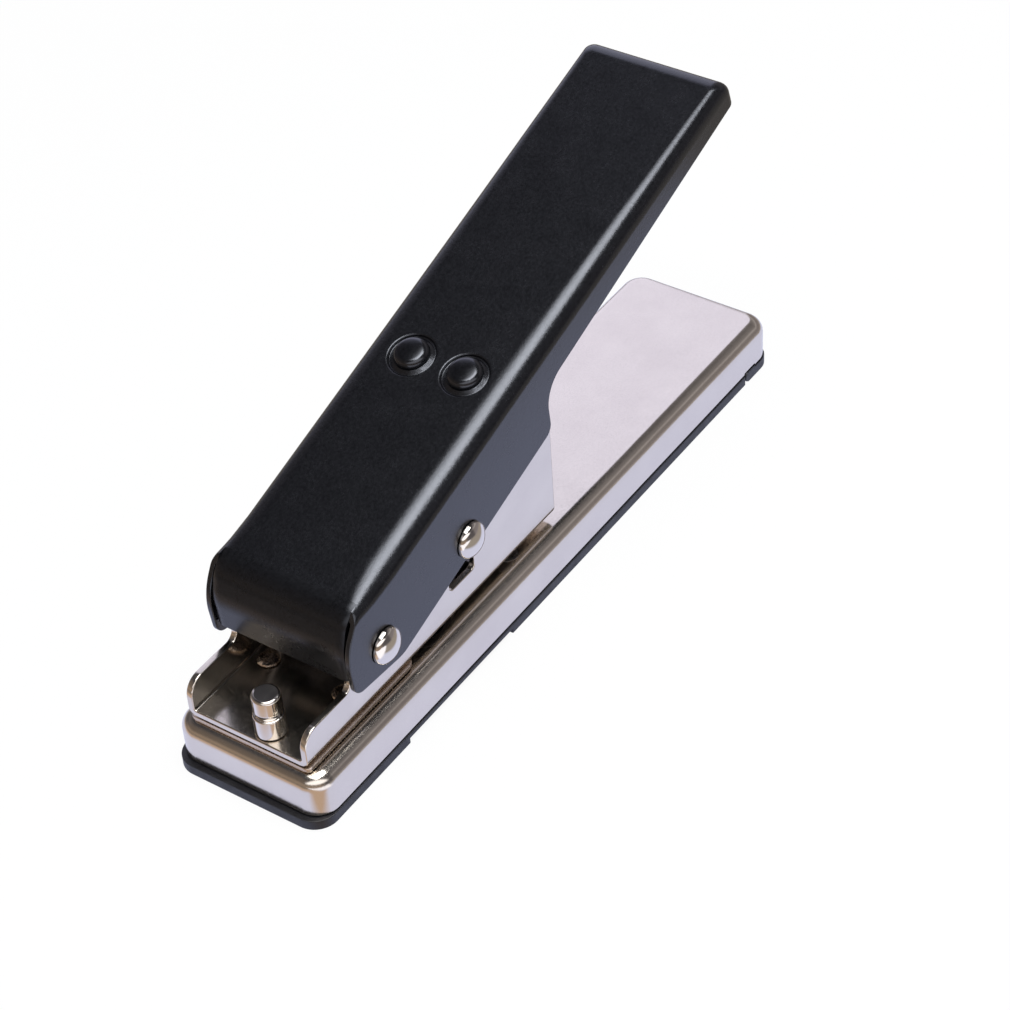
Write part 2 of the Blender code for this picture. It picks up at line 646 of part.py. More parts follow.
def build_bracket():
    middle_y = BRACKET_OUTER_Y - BRACKET_SHEET / 2
    middle_z = BRACKET_BOTTOM + BRACKET_SHEET / 2
    bend = BRACKET_BEND - BRACKET_SHEET / 2
    high = WALL_TOP + OVERRUN
    path = rounded(
        [(-middle_y, high, 0), (-middle_y, middle_z, bend), (middle_y, middle_z, bend), (middle_y, high, 0)],
        closed=False)
    bracket = channel("punch_bracket", path, BRACKET_START - OVERRUN, BRACKET_END + OVERRUN, BRACKET_SHEET)
    place(bracket, material=NICKEL)
    low = BRACKET_BOTTOM - OVERRUN / 2
    side = rounded([
        (BRACKET_START, low, 0),
        (BRACKET_END, low, 0),
        (BRACKET_END, WALL_TOP, WALL_CORNER_RADIUS),
        (PIVOT_X - EAR_RADIUS, WALL_TOP, EAR_RADIUS),
        (PIVOT_X - EAR_RADIUS, RAIL_TOP, RAIL_FILLET),
        (BRACKET_START, RAIL_TOP, RAIL_CORNER_RADIUS),
    ])
    reach = BRACKET_OUTER_Y + OVERRUN
    boolean(bracket, as_cutter(side_prism("bracket_side", side, reach)), "INTERSECT")
    pivot_hole = rod_cutter("bracket_pivot_hole", PIN_HOLE_RADIUS, (PIVOT_X, 0, PIVOT_Z), reach, along_y=True)
    boolean(bracket, pivot_hole)
    slot_top = DRIVE_Z + PIN_HOLE_RADIUS
    slot = rectangle(
        PUNCH_X - SLOT_WIDTH / 2, PUNCH_X + SLOT_WIDTH / 2, SLOT_BOTTOM, slot_top, [SLOT_CORNER_RADIUS] * 4)
    boolean(bracket, as_cutter(side_prism("bracket_drive_slot", slot, reach)))
    floor_low, floor_high = BRACKET_BOTTOM - OVERRUN / 2, BRACKET_FLOOR + OVERRUN / 2
    hole = sheet_outline("bracket_pick_hole", [pick_outline(HOLE_GAP, PUNCH_X)], floor_low, floor_high)
    boolean(bracket, as_cutter(hole))
    for i, (x, y) in enumerate(BRACKET_RIVET_PLACES + GUIDE_RIVET_PLACES, 1):
        hole = rod_cutter(f"bracket_rivet_hole_{i}", RIVET_HOLE_RADIUS, (x, y, BRACKET_FLOOR), OVERRUN)
        boolean(bracket, hole)
    post_at = (POST_X, POST_Y, BRACKET_FLOOR)
    boolean(bracket, rod_cutter("bracket_post_hole", POST_TAIL_RADIUS + HOLE_GAP, post_at, OVERRUN))
    smooth(bracket.data)
    profile = rivet_profile(
        BRACKET_FLOOR, HOUSING_CEILING, RIVET_RADIUS, RIVET_HEAD_RADIUS, RIVET_HEAD_HEIGHT,
        RIVET_HEAD_RADIUS, RIVET_HEAD_HEIGHT)
    for i, (x, y) in enumerate(BRACKET_RIVET_PLACES, 1):
        place(turned(f"bracket_rivet_{i}", profile, (x, y, 0), steps=RIVET_STEPS), material=NICKEL)


def build_post():
    foot = BRACKET_FLOOR + SEAT_GAP
    top = foot + POST_HEIGHT
    neck = foot + POST_FOOT_HEIGHT
    tail_top = HOUSING_CEILING - SEAT_GAP
    tail_bottom = tail_top - RIVET_HEAD_HEIGHT
    tail_head = POST_TAIL_RADIUS + RIVET_HEAD_HEIGHT
    profile = [
        (0, top), (POST_HEAD_RADIUS - POST_EDGE, top), (POST_HEAD_RADIUS, top - POST_EDGE),
        (POST_HEAD_RADIUS, neck + POST_NECK_HEIGHT + POST_EDGE), (POST_NECK_RADIUS, neck + POST_NECK_HEIGHT),
        (POST_NECK_RADIUS, neck), (POST_FOOT_RADIUS, neck - POST_EDGE), (POST_FOOT_RADIUS, foot),
        (POST_TAIL_RADIUS, foot), (POST_TAIL_RADIUS, tail_top), (tail_head, tail_top),
        (tail_head, tail_bottom), (0, tail_bottom),
    ]
    place(turned("anchor_post", profile, (POST_X, POST_Y, 0)), material=NICKEL)


def build_guides():
    half_y = BRACKET_INNER_Y - SEAT_GAP
    blocks = (
        ("rear_guide_block", REAR_GUIDE_START, REAR_GUIDE_END, GUIDE_RIVET_PLACES[:2]),
        ("front_guide_block", FRONT_GUIDE_START, FRONT_GUIDE_END, GUIDE_RIVET_PLACES[2:]),
    )
    relief = sheet_outline(
        "guide_pick_hole", [pick_outline(HOLE_GAP, PUNCH_X)], GUIDE_BOTTOM - OVERRUN, GUIDE_TOP + OVERRUN)
    as_cutter(relief)
    for name, x0, x1, places in blocks:
        outlines = [rectangle(x0, x1, -half_y, half_y, [0] * 4)]
        outlines += [circle(x, y, RIVET_HOLE_RADIUS) for x, y in places]
        block = sheet_outline(name, outlines, GUIDE_BOTTOM, GUIDE_TOP)
        place(block, material=STEEL)
        boolean(block, relief)
        for i, side in enumerate((-1, 1), 1):
            corner = ((x0 + x1) / 2, side * BRACKET_INNER_Y, GUIDE_BOTTOM)
            chamfer = rod_cutter(f"{name}_chamfer_{i}", BRACKET_BEND, corner, x1 - x0)
            chamfer.rotation_euler = (0, math.radians(90), 0)
            boolean(block, chamfer)
    profile = rivet_profile(
        GUIDE_TOP, BRACKET_BOTTOM + BRACKET_SHEET / 2 + SEAT_GAP, RIVET_RADIUS, RIVET_HEAD_RADIUS,
        RIVET_HEAD_HEIGHT, RIVET_RADIUS, BRACKET_SHEET / 2 - SEAT_GAP)
    for i, (x, y) in enumerate(GUIDE_RIVET_PLACES, 1):
        place(turned(f"guide_rivet_{i}", profile, (x, y, 0), steps=RIVET_STEPS), material=NICKEL)


def build_tray():
    """The hinged tray: a rim, a wall inside the housing, and a hinge barrel."""
    corner = BASE_CORNER_RADIUS
    rim_end = EAR_START - SEAT_GAP
    barrel_y = EAR_INNER_Y - SEAT_GAP
    tongue_y = barrel_y - SEAT_GAP
    rim = rounded([
        (TRAY_START, -LIP_Y, corner), (rim_end, -LIP_Y, 0), (rim_end, -tongue_y, 0), (HINGE_X, -tongue_y, 0),
        (HINGE_X, tongue_y, 0), (rim_end, tongue_y, 0), (rim_end, LIP_Y, 0), (TRAY_START, LIP_Y, corner),
    ])
    tray = sheet_outline("bottom_tray", [rim], 0, RIM_HEIGHT)
    place(tray, material=BLACK_PLASTIC)
    inner_corner = corner - BASE_SHEET - SEAT_GAP
    wall_end = rim_end - HINGE_RADIUS
    wall = rectangle(TRAY_WALL_START, wall_end, -TRAY_WALL_Y, TRAY_WALL_Y, (inner_corner, 0, 0, inner_corner))
    boolean(tray, as_cutter(sheet_outline("tray_wall", [wall], TRAY_FLOOR, TRAY_WALL_TOP)), "UNION")
    barrel = rod_cutter("tray_barrel", HINGE_RADIUS, (HINGE_X, 0, HINGE_RADIUS), barrel_y, along_y=True)
    boolean(tray, barrel, "UNION")
    pocket_corner = inner_corner - TRAY_WALL
    pocket_y = TRAY_WALL_Y - TRAY_WALL
    pocket = rectangle(
        TRAY_WALL_START + TRAY_WALL, wall_end - TRAY_WALL, -pocket_y, pocket_y, [pocket_corner] * 4)
    boolean(tray, as_cutter(sheet_outline("tray_pocket", [pocket], TRAY_FLOOR, TRAY_WALL_TOP + OVERRUN)))
    for i, side in enumerate((-1, 1), 1):
        y0, y1 = sorted((side * (LIP_Y + OVERRUN), side * (LIP_Y - RECESS_DEPTH)))
        recess = rectangle(RECESS_START, RECESS_END, y0, y1, [RECESS_HEIGHT] * 4)
        boolean(tray, as_cutter(sheet_outline(f"tray_recess_{i}", [recess], -OVERRUN, RECESS_HEIGHT)))
    bore = rod_cutter(
        "tray_hinge_bore", HINGE_PIN_RADIUS + HOLE_GAP, (HINGE_X, 0, HINGE_RADIUS), LIP_Y, along_y=True)
    boolean(tray, bore)
    own_axis(tray, TRAY_AXIS)


def own_axis(obj, axis):
    """Hangs an object modelled in world coordinates under its joint's empty."""
    bpy.context.view_layer.update()
    obj.parent = axis
    obj.matrix_parent_inverse = axis.matrix_world.inverted()


def build_foot():
    """The fixed foot at the far end, with the two ears that hold the hinge pin."""
    corner = BASE_CORNER_RADIUS
    rim = rectangle(FOOT_START, FOOT_END, -LIP_Y, LIP_Y, (0, corner, corner, 0))
    foot = sheet_outline("rear_foot", [rim], 0, RIM_HEIGHT)
    place(foot, material=BLACK_PLASTIC)
    block_end = FAR_END - BASE_SHEET - SEAT_GAP
    inner_corner = corner - BASE_SHEET - SEAT_GAP
    block = rectangle(FOOT_START, block_end, -TRAY_WALL_Y, TRAY_WALL_Y, (0, inner_corner, inner_corner, 0))
    boolean(foot, as_cutter(sheet_outline("foot_block", [block], TRAY_FLOOR, TRAY_WALL_TOP)), "UNION")
    pocket_y = TRAY_WALL_Y - TRAY_WALL
    pocket = rectangle(
        EAR_END + TRAY_WALL, block_end - TRAY_WALL, -pocket_y, pocket_y, [TRAY_WALL] * 4)
    outline = rectangle(EAR_START, EAR_END, 0, EAR_HEIGHT, (HINGE_RADIUS, 0, 0, EAR_ROUND))
    for i, side in enumerate((-1, 1), 1):
        ear = side_prism(f"foot_ear_{i}", outline, EAR_WIDTH / 2)
        ear.location.y = side * (EAR_INNER_Y + EAR_WIDTH / 2)
        boolean(foot, as_cutter(ear), "UNION")
    boolean(foot, as_cutter(sheet_outline("foot_pocket", [pocket], TRAY_FLOOR, TRAY_WALL_TOP + OVERRUN)))
    bore_half = LIP_Y - RIM_LIP - TRAY_WALL
    bore = rod_cutter(
        "foot_hinge_bore", HINGE_PIN_RADIUS + HOLE_GAP, (HINGE_X, 0, HINGE_RADIUS), bore_half, along_y=True)
    boolean(foot, bore)
    pin_half = bore_half - SEAT_GAP
    pin = turned("tray_hinge_pin", [
        (0, pin_half), (HINGE_PIN_RADIUS, pin_half), (HINGE_PIN_RADIUS, -pin_half), (0, -pin_half),
    ], (HINGE_X, 0, HINGE_RADIUS), lie_along_y=True, steps=RIVET_STEPS)
    place(pin, material=STEEL)


def flange_corners(inset=0):
    """Corners of the flange's lower outline, from the nose round to the shoulder."""
    nose, chin, lobe, shoulder = FLANGE_NOSE, FLANGE_CHIN, FLANGE_LOBE, FLANGE_SHOULDER
    return [
        (nose[0] + inset, nose[1] + inset, nose[2]),
        (chin[0] + inset, chin[1] + inset, chin[2]),
        (lobe[0] - inset, lobe[1] + inset, lobe[2]),
        (shoulder[0] - inset, shoulder[1], shoulder[2]),
    ]


def handle_half_width(along):
    return FLANGE_OUTER_Y + HANDLE_TAPER * along


def crown_ring(start, tilt):
    """The handle's outline at one tilt of its rounded edge, from one side round the far end to the other."""
    lean, rise = math.sin(tilt), math.cos(tilt)
    corner = HANDLE_TOP_CORNER_RADIUS + (HANDLE_CORNER_RADIUS - HANDLE_TOP_CORNER_RADIUS) * lean
    points = []
    for along, edge in ((start, HANDLE_FRONT_EDGE_RADIUS), (0, HANDLE_FRONT_EDGE_RADIUS),
                        (HANDLE_EDGE_GROWTH, HANDLE_EDGE_RADIUS)):
        points.append((along, handle_half_width(along) - edge * (1 - lean), HANDLE_TOP - edge * (1 - rise)))
    inset = HANDLE_EDGE_RADIUS * (1 - lean) + corner
    centre = (HANDLE_END - inset, handle_half_width(HANDLE_END) - inset)
    up = HANDLE_TOP - HANDLE_EDGE_RADIUS * (1 - rise)
    step = math.pi / 2 / HANDLE_CORNER_SEGMENTS
    points += [(centre[0] + corner * math.sin(step * i), centre[1] + corner * math.cos(step * i), up)
               for i in range(HANDLE_CORNER_SEGMENTS + 1)]
    return points + [(x, -y, z) for x, y, z in reversed(points)]


def crown(name, start, low):
    """The handle's outer skin: flat top, rounded edges that meet in tight corners, walls down to low."""
    step = math.pi / 2 / HANDLE_EDGE_SEGMENTS
    outlines = [crown_ring(start, step * i) for i in range(HANDLE_EDGE_SEGMENTS + 1)]
    outlines.append([(x, y, low) for x, y, z in outlines[-1]])
    work = bmesh.new()
    rings = [[work.verts.new(point) for point in outline] for outline in outlines]
    work.faces.new(rings[0])
    for upper, lower in zip(rings, rings[1:]):
        for a, b, c, d in zip(upper, upper[1:], lower[1:], lower):
            work.faces.new((a, b, c, d))
    bmesh.ops.triangulate(work, faces=[face for face in work.faces if len(face.verts) == 4])
    bmesh.ops.recalc_face_normals(work, faces=work.faces)
    mesh = bpy.data.meshes.new(name)
    work.to_mesh(mesh)
    work.free()
    return bpy.data.objects.new(name, mesh)


def build_handle_shell():
    shell = crown("handle_shell", FLANGE_NOSE[0] - OVERRUN, FLANGE_CHIN[1] - OVERRUN)
    place(shell, HANDLE_AXIS, BLACK_PAINT)
    solidify(shell, HANDLE_SHEET, -1)
    beyond, above = HANDLE_END + OVERRUN, HANDLE_TOP + OVERRUN
    outline = rounded([
        (FLANGE_FRONT_TOP[0], above, 0), FLANGE_FRONT_TOP, FLANGE_BROW, *flange_corners(),
        (beyond, FLANGE_TAIL_UP, 0), (beyond, above, 0),
    ])
    side = as_cutter(side_prism("handle_side", outline, HANDLE_REACH_Y), HANDLE_AXIS)
    boolean(shell, side, "INTERSECT")
    path = rounded(
        [(APRON_OVERLAP, APRON_BEND[1], 0), APRON_BEND, APRON_BROW, (*APRON_FOOT, 0)], closed=False)
    apron = side_prism("handle_apron", thickened(path, HANDLE_SHEET), FLANGE_INNER_Y - APRON_SIDE_GAP)
    boolean(shell, as_cutter(apron, HANDLE_AXIS), "UNION")
    drive = (ARM_LENGTH * math.cos(ARM_ANGLE - SLOPE), 0, DRIVE_UP)
    for name, position in (("handle_pivot_hole", (0, 0, 0)), ("handle_drive_hole", drive)):
        hole = rod_cutter(name, PIN_HOLE_RADIUS, position, HANDLE_REACH_Y, HANDLE_AXIS, along_y=True)
        boolean(shell, hole)
    dimple = [
        (0, HANDLE_TOP + OVERRUN), (DIMPLE_RADIUS + OVERRUN, HANDLE_TOP + OVERRUN),
        (DIMPLE_RADIUS, HANDLE_TOP),
        (DIMPLE_RADIUS - DIMPLE_DEPTH, HANDLE_TOP - DIMPLE_DEPTH),
        (HANDLE_RIVET_RADIUS + HOLE_GAP, HANDLE_TOP - DIMPLE_DEPTH),
        (HANDLE_RIVET_RADIUS + HOLE_GAP, LEVER_TOP - OVERRUN), (0, LEVER_TOP - OVERRUN),
    ]
    for i, (x, y) in enumerate(HANDLE_RIVET_PLACES, 1):
        boolean(shell, as_cutter(turned(f"handle_dimple_{i}", dimple, (x, y, 0)), HANDLE_AXIS))
    smooth(shell.data)
    return drive


def build_lever(drive):
    middle_y = LEVER_OUTER_Y - LEVER_SHEET / 2
    middle_z = LEVER_TOP - LEVER_SHEET / 2
    low = FLANGE_CHIN[1] - OVERRUN
    bend = LEVER_BEND - LEVER_SHEET / 2
    path = rounded(
        [(-middle_y, low, 0), (-middle_y, middle_z, bend), (middle_y, middle_z, bend), (middle_y, low, 0)],
        closed=False)
    lever = channel("lever_channel", path, FLANGE_NOSE[0] - OVERRUN, LEVER_END + OVERRUN, LEVER_SHEET)
    place(lever, HANDLE_AXIS, STEEL)
    above = LEVER_TOP + OVERRUN
    nose, chin, lobe = flange_corners(LEVER_INSET)[:3]
    outline = rounded([
        (FLANGE_FRONT_TOP[0] + LEVER_SETBACK, above, 0),
        (FLANGE_BROW[0] + LEVER_SETBACK, FLANGE_BROW[1], FLANGE_BROW[2]),
        (FLANGE_NOSE[0] + LEVER_SETBACK, nose[1], nose[2]), chin, lobe,
        (LEVER_END, FLANGE_SHOULDER[1], lobe[2]), (LEVER_END, above, 0),
    ])
    boolean(lever, as_cutter(side_prism("lever_side", outline, HANDLE_REACH_Y), HANDLE_AXIS), "INTERSECT")
    for name, position in (("lever_pivot_hole", (0, 0, 0)), ("lever_drive_hole", drive)):
        hole = rod_cutter(name, PIN_HOLE_RADIUS, position, HANDLE_REACH_Y, HANDLE_AXIS, along_y=True)
        boolean(lever, hole)
    for i, (x, y) in enumerate(HANDLE_RIVET_PLACES, 1):
        radius = HANDLE_RIVET_RADIUS + HOLE_GAP
        hole = rod_cutter(f"lever_rivet_hole_{i}", radius, (x, y, LEVER_TOP), OVERRUN, HANDLE_AXIS)
        boolean(lever, hole)
    smooth(lever.data)


def build_handle_rivets():
    seat = HANDLE_TOP - DIMPLE_DEPTH
    profile = rivet_profile(
        seat, LEVER_TOP - LEVER_SHEET, HANDLE_RIVET_RADIUS, HANDLE_RIVET_HEAD_RADIUS, HANDLE_RIVET_DOME,
        HANDLE_RIVET_RADIUS + LEVER_SHEET, LEVER_SHEET)
    for i, (x, y) in enumerate(HANDLE_RIVET_PLACES, 1):
        place(turned(f"handle_rivet_{i}", profile, (x, y, 0)), HANDLE_AXIS, BLACK_PAINT)


def build_pins(drive):
    pivot = turned("pivot_pin", pin_profile(FLANGE_OUTER_Y), (PIVOT_X, 0, PIVOT_Z), lie_along_y=True)
    place(pivot, material=NICKEL)
    drive_profile = pin_profile(handle_half_width(drive[0]))
    place(turned("drive_pin", drive_profile, drive, lie_along_y=True), HANDLE_AXIS, NICKEL)
    half = BRACKET_INNER_Y - SEAT_GAP
    inner = PIN_RADIUS + HOLE_GAP
    outer = inner + SLEEVE_WALL
    sleeve = turned("pivot_sleeve", [
        (inner, half), (outer, half), (outer, -half), (inner, -half), (inner, half),
    ], (PIVOT_X, 0, PIVOT_Z), lie_along_y=True)
    place(sleeve, material=STEEL)


def build_punch():
    """The pick-shaped punch, hollow-ground below, with a level slot for the drive pin."""
    punch = sheet_outline("punch_block", [pick_outline(0, PUNCH_X)], PUNCH_REST_BOTTOM, PUNCH_TOP)
    place(punch, material=STEEL)
    half_length = PICK_LENGTH / 2
    grind_radius = (half_length ** 2 + PUNCH_HOLLOW ** 2) / (2 * PUNCH_HOLLOW)
    centre_z = PUNCH_REST_BOTTOM + PUNCH_HOLLOW - grind_radius
    half_angle = math.asin((half_length + PUNCH_EDGE) / grind_radius)
    grind = arc((PUNCH_X, centre_z), grind_radius, math.pi / 2 - half_angle, math.pi / 2 + half_angle, 0.5)
    low = PUNCH_REST_BOTTOM - OVERRUN
    grind += [(PUNCH_X - half_length - OVERRUN, low), (PUNCH_X + half_length + OVERRUN, low)]
    boolean(punch, as_cutter(side_prism("punch_grind", grind, PICK_WIDTH)))
    slot_half = (DRIVE_DRIFT / 2) + PIN_HOLE_RADIUS
    slot = rectangle(
        PUNCH_X - slot_half, PUNCH_X + slot_half, DRIVE_Z - PIN_HOLE_RADIUS, DRIVE_Z + PIN_HOLE_RADIUS,
        [PIN_HOLE_RADIUS - WELD] * 4)
    boolean(punch, as_cutter(side_prism("punch_drive_slot", slot, PICK_WIDTH)))
    smooth(punch.data)
    own_axis(punch, PUNCH_AXIS)


def spring_half(side):
    """One half of the spring, from the foot of its leg to the middle of its loop."""
    centre = Vector((PIVOT_X, PIVOT_Z))
    bore = PIN_RADIUS + HOLE_GAP + SLEEVE_WALL + SPRING_BORE_GAP
    coil = bore + SPRING_WIRE / 2
    pitch = SPRING_WIRE + SPRING_COIL_GAP
    outer_y = BRACKET_INNER_Y - SPRING_WIRE / 2 - SPRING_COIL_GAP
    foot = Vector((REAR_GUIDE_START - SPRING_LEG_SETBACK, BRACKET_FLOOR + SEAT_GAP + SPRING_WIRE / 2))
    to_foot = foot - centre
    start = math.atan2(to_foot.y, to_foot.x) - math.acos(coil / to_foot.length)
    loop = (SPRING_LOOP_ALONG, LEVER_TOP - LEVER_SHEET - SEAT_GAP - SPRING_WIRE / 2)
    loop_x = PIVOT_X + loop[0] * math.cos(SLOPE) - loop[1] * math.sin(SLOPE)
    loop_z = PIVOT_Z + loop[0] * math.sin(SLOPE) + loop[1] * math.cos(SLOPE)
    to_loop = Vector((loop_x, loop_z)) - centre
    finish = math.atan2(to_loop.y, to_loop.x) + math.acos(coil / to_loop.length)
    sweep = (start - finish) % (2 * math.pi) + 2 * math.pi * (SPRING_TURNS - 1)
    count = round(sweep / (2 * math.pi) * SPRING_POINTS_PER_TURN)
    points = [(foot.x, side * outer_y, foot.y)]
    for i in range(count + 1):
        angle = start - sweep * i / count
        y = outer_y - pitch * sweep * i / count / (2 * math.pi)
        points.append((centre.x + coil * math.cos(angle), side * y, centre.y + coil * math.sin(angle)))
    points.append((loop_x, side * SPRING_MIDDLE_Y, loop_z))
    return points


def least_gap(points, wire):
    """The least space between two stretches of a wire that aren't neighbours."""
    vectors = [Vector(p) for p in points]
    nearest = min(
        (vectors[i] - vectors[j]).length
        for i in range(len(vectors)) for j in range(i + SPRING_POINTS_PER_TURN // 2, len(vectors)))
    return nearest - wire


def build_spring():
    path = spring_half(-1) + spring_half(1)[::-1]
    print(f"return spring: least gap to itself {least_gap(path, SPRING_WIRE) * 1000:.2f} mm")
    curve = bpy.data.curves.new("return_spring", "CURVE")
    curve.dimensions = "3D"
    curve.bevel_depth = SPRING_WIRE / 2
    curve.bevel_resolution = 1
    curve.use_fill_caps = True
    add_spline(curve, path, cyclic=False)
    spring = bpy.data.objects.new("return_spring_path", curve)
    bpy.context.scene.collection.objects.link(spring)
    made = curve_to_mesh(spring, "return_spring")
    place(made, material=SPRING_STEEL)
    smooth(made.data, 60)


build_base_housing()
build_die()
build_spacer()
build_bracket()
build_post()
build_guides()
build_tray()
build_foot()
DRIVE_PLACE = build_handle_shell()
build_lever(DRIVE_PLACE)
build_handle_rivets()
build_pins(DRIVE_PLACE)
build_punch()
build_spring()
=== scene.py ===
import json
import math

import bmesh
import bpy
from mathutils import Matrix, Vector


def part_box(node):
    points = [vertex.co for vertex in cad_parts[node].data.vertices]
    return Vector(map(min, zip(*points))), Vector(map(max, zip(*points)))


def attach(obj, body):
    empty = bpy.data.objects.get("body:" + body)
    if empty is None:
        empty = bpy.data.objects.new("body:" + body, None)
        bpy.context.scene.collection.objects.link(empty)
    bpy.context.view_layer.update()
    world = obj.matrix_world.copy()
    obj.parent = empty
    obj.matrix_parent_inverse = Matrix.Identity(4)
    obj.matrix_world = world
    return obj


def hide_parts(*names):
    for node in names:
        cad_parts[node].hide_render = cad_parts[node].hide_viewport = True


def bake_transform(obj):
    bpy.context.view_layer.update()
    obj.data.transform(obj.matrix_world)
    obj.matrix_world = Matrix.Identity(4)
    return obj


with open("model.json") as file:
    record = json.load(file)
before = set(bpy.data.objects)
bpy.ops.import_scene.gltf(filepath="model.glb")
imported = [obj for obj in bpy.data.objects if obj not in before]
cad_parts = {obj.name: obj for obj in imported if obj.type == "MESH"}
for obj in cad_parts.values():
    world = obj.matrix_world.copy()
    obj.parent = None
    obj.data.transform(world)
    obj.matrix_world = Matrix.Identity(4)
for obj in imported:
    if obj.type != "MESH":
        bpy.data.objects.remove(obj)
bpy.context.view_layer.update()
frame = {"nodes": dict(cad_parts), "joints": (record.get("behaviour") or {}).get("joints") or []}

MM = 0.001


def middle_of(node):
    low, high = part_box(node)
    return (low + high) / 2


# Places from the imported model
JOINTS = {joint["name"]: joint for joint in frame["joints"]}
PIVOT = Vector(JOINTS["handle_pivot"]["pos_m"])
HINGE = Vector(JOINTS["tray_hinge"]["pos_m"])
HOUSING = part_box("base_housing")
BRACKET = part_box("punch_bracket")
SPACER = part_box("spacer_plate")
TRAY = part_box("bottom_tray")
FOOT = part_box("rear_foot")
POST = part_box("anchor_post")
DRIVE = middle_of("drive_pin")
PICK_X = middle_of("punch_block").x
SLOPE = math.radians(17)
HANDLE = Matrix.Translation(PIVOT) @ Matrix.Rotation(-SLOPE, 4, "Y")

# Base
BASE_CORNER = 5.2 * MM
HOUSING_SHEET = 1 * MM
HOUSING_EDGE = 3.2 * MM
BRACKET_SHEET = 1.5 * MM
RIVET_HOLE, POST_HOLE, PIN_HOLE = 1.55 * MM, 2.3 * MM, 2.4 * MM
DIE_RIVETS = [f"die_rivet_{i}" for i in range(1, 5)]
GUIDE_RIVETS = [f"guide_rivet_{i}" for i in range(1, 5)]
BRACKET_RIVETS = ["bracket_rivet_1", "bracket_rivet_2"]

# Handle, in its own frame: X runs along it from the pivot's axis, Z up from there
HANDLE_END, HANDLE_TOP, HANDLE_SHEET = 140.7 * MM, 14.94 * MM, 1.2 * MM
OUTER_Y = 17.5 * MM
TAPER = 0.1 * MM / HANDLE_END
FRONT = -2.4 * MM
JOIN = -0.6 * MM
APRON_Y = OUTER_Y - HANDLE_SHEET - 0.4 * MM
DIMPLE = 5.5 * MM
DIMPLE_BORE = 2.3 * MM
RIVET_PLACES = [(53.1 * MM, y * MM) for y in (-6.45, 6.45)]
END_WIDTH = 4.4 * MM

# The handle's rounded edge: (place along the handle, size) in millimetres, and the places of its sections
EDGE_WIDTH = [
    (-2.4, 2.4), (0, 3.6), (2, 4.3), (8, 5.3), (40, 5.3), (70, 4.95), (90, 4.4), (112, 3.4), (130, 2.9),
    (140.7, 2.7)]
EDGE_DROP = [(-2.4, 2.2), (0, 2.7), (2, 3.1), (8, 3.6), (140.7, 3.6)]
STATIONS = [-2.4, -1.2, 0, 1, 2, 3.5, 5.5, 8, 11, 15, 20, 26, 32, 40, 52, 65, 78, 90, 101, 112, 121, 130]

# Tray and foot
RIM_HEIGHT, WALL_TOP, TRAY_SHEET = 2.3 * MM, 5.5 * MM, 1.2 * MM
WALL_GAP = 1.3 * MM
WALL_Y = HOUSING[1].y - WALL_GAP
WALL_CORNER = BASE_CORNER - WALL_GAP
TRAY_END = HINGE.x - 2.1 * MM
BARREL, HINGE_BORE = 1.6 * MM, 0.9 * MM
HINGE_AT = (HINGE.x, 0, BARREL)
LIP_Y = TRAY[1].y


# Shapes
def arc(centre, radius, start, end, step_deg=5.0):
    """Points along an arc, both ends included."""
    count = max(3, math.ceil(abs(end - start) / math.radians(step_deg)))
    angles = [start + (end - start) * i / count for i in range(count + 1)]
    return [(centre[0] + radius * math.cos(a), centre[1] + radius * math.sin(a)) for a in angles]


def circle(x, y, radius):
    return arc((x, y), radius, 0, 2 * math.pi, 7.5)[:-1]


def corner_arc(before, corner, after, radius, step_deg):
    point = Vector(corner)
    to_before = (Vector(before) - point).normalized()
    to_after = (Vector(after) - point).normalized()
    half = to_before.angle(to_after) / 2
    reach = radius / math.tan(half)
    centre = point + (to_before + to_after).normalized() * radius / math.sin(half)
    first = point + to_before * reach - centre
    last = point + to_after * reach - centre
    start = math.atan2(first.y, first.x)
    turn = math.atan2(first.x * last.y - first.y * last.x, first.dot(last))
    return arc(centre, radius, start, start + turn, step_deg)


def rounded(corners, closed=True, step_deg=5.0):
    """An outline or path through (x, y, radius) corners."""
    points = []
    count = len(corners)
    for i, (x, y, radius) in enumerate(corners):
        if radius == 0 or (not closed and i in (0, count - 1)):
            points.append((x, y))
            continue
        points += corner_arc(corners[i - 1][:2], (x, y), corners[(i + 1) % count][:2], radius, step_deg)
    return points


def rectangle(x0, x1, y0, y1, radii):
    places = ((x0, y0), (x1, y0), (x1, y1), (x0, y1))
    return rounded([(*at, radius) for at, radius in zip(places, radii)])


def linked(name, data):
    made = bpy.data.objects.new(name, data)
    bpy.context.scene.collection.objects.link(made)
    return made


def new_object(name, work):
    bmesh.ops.recalc_face_normals(work, faces=work.faces)
    mesh = bpy.data.meshes.new(name)
    work.to_mesh(mesh)
    work.free()
    return linked(name, mesh)


def evaluated_mesh(obj):
    bpy.context.view_layer.update()
    graph = bpy.context.evaluated_depsgraph_get()
    return bpy.data.meshes.new_from_object(obj.evaluated_get(graph))


def remove(obj):
    bpy.data.objects.remove(obj, do_unlink=True)


def add_points(curve, points, closed=False):
    spline = curve.splines.new("POLY")
    spline.points.add(len(points) - 1)
    for target, point in zip(spline.points, points):
        target.co = (*point, 1)
    spline.use_cyclic_u = closed


def skin(work, upper, lower):
    """Faces between two rows of points."""
    for a, b, c, d in zip(upper, upper[1:], lower[1:], lower):
        work.faces.new((a, b, c, d))


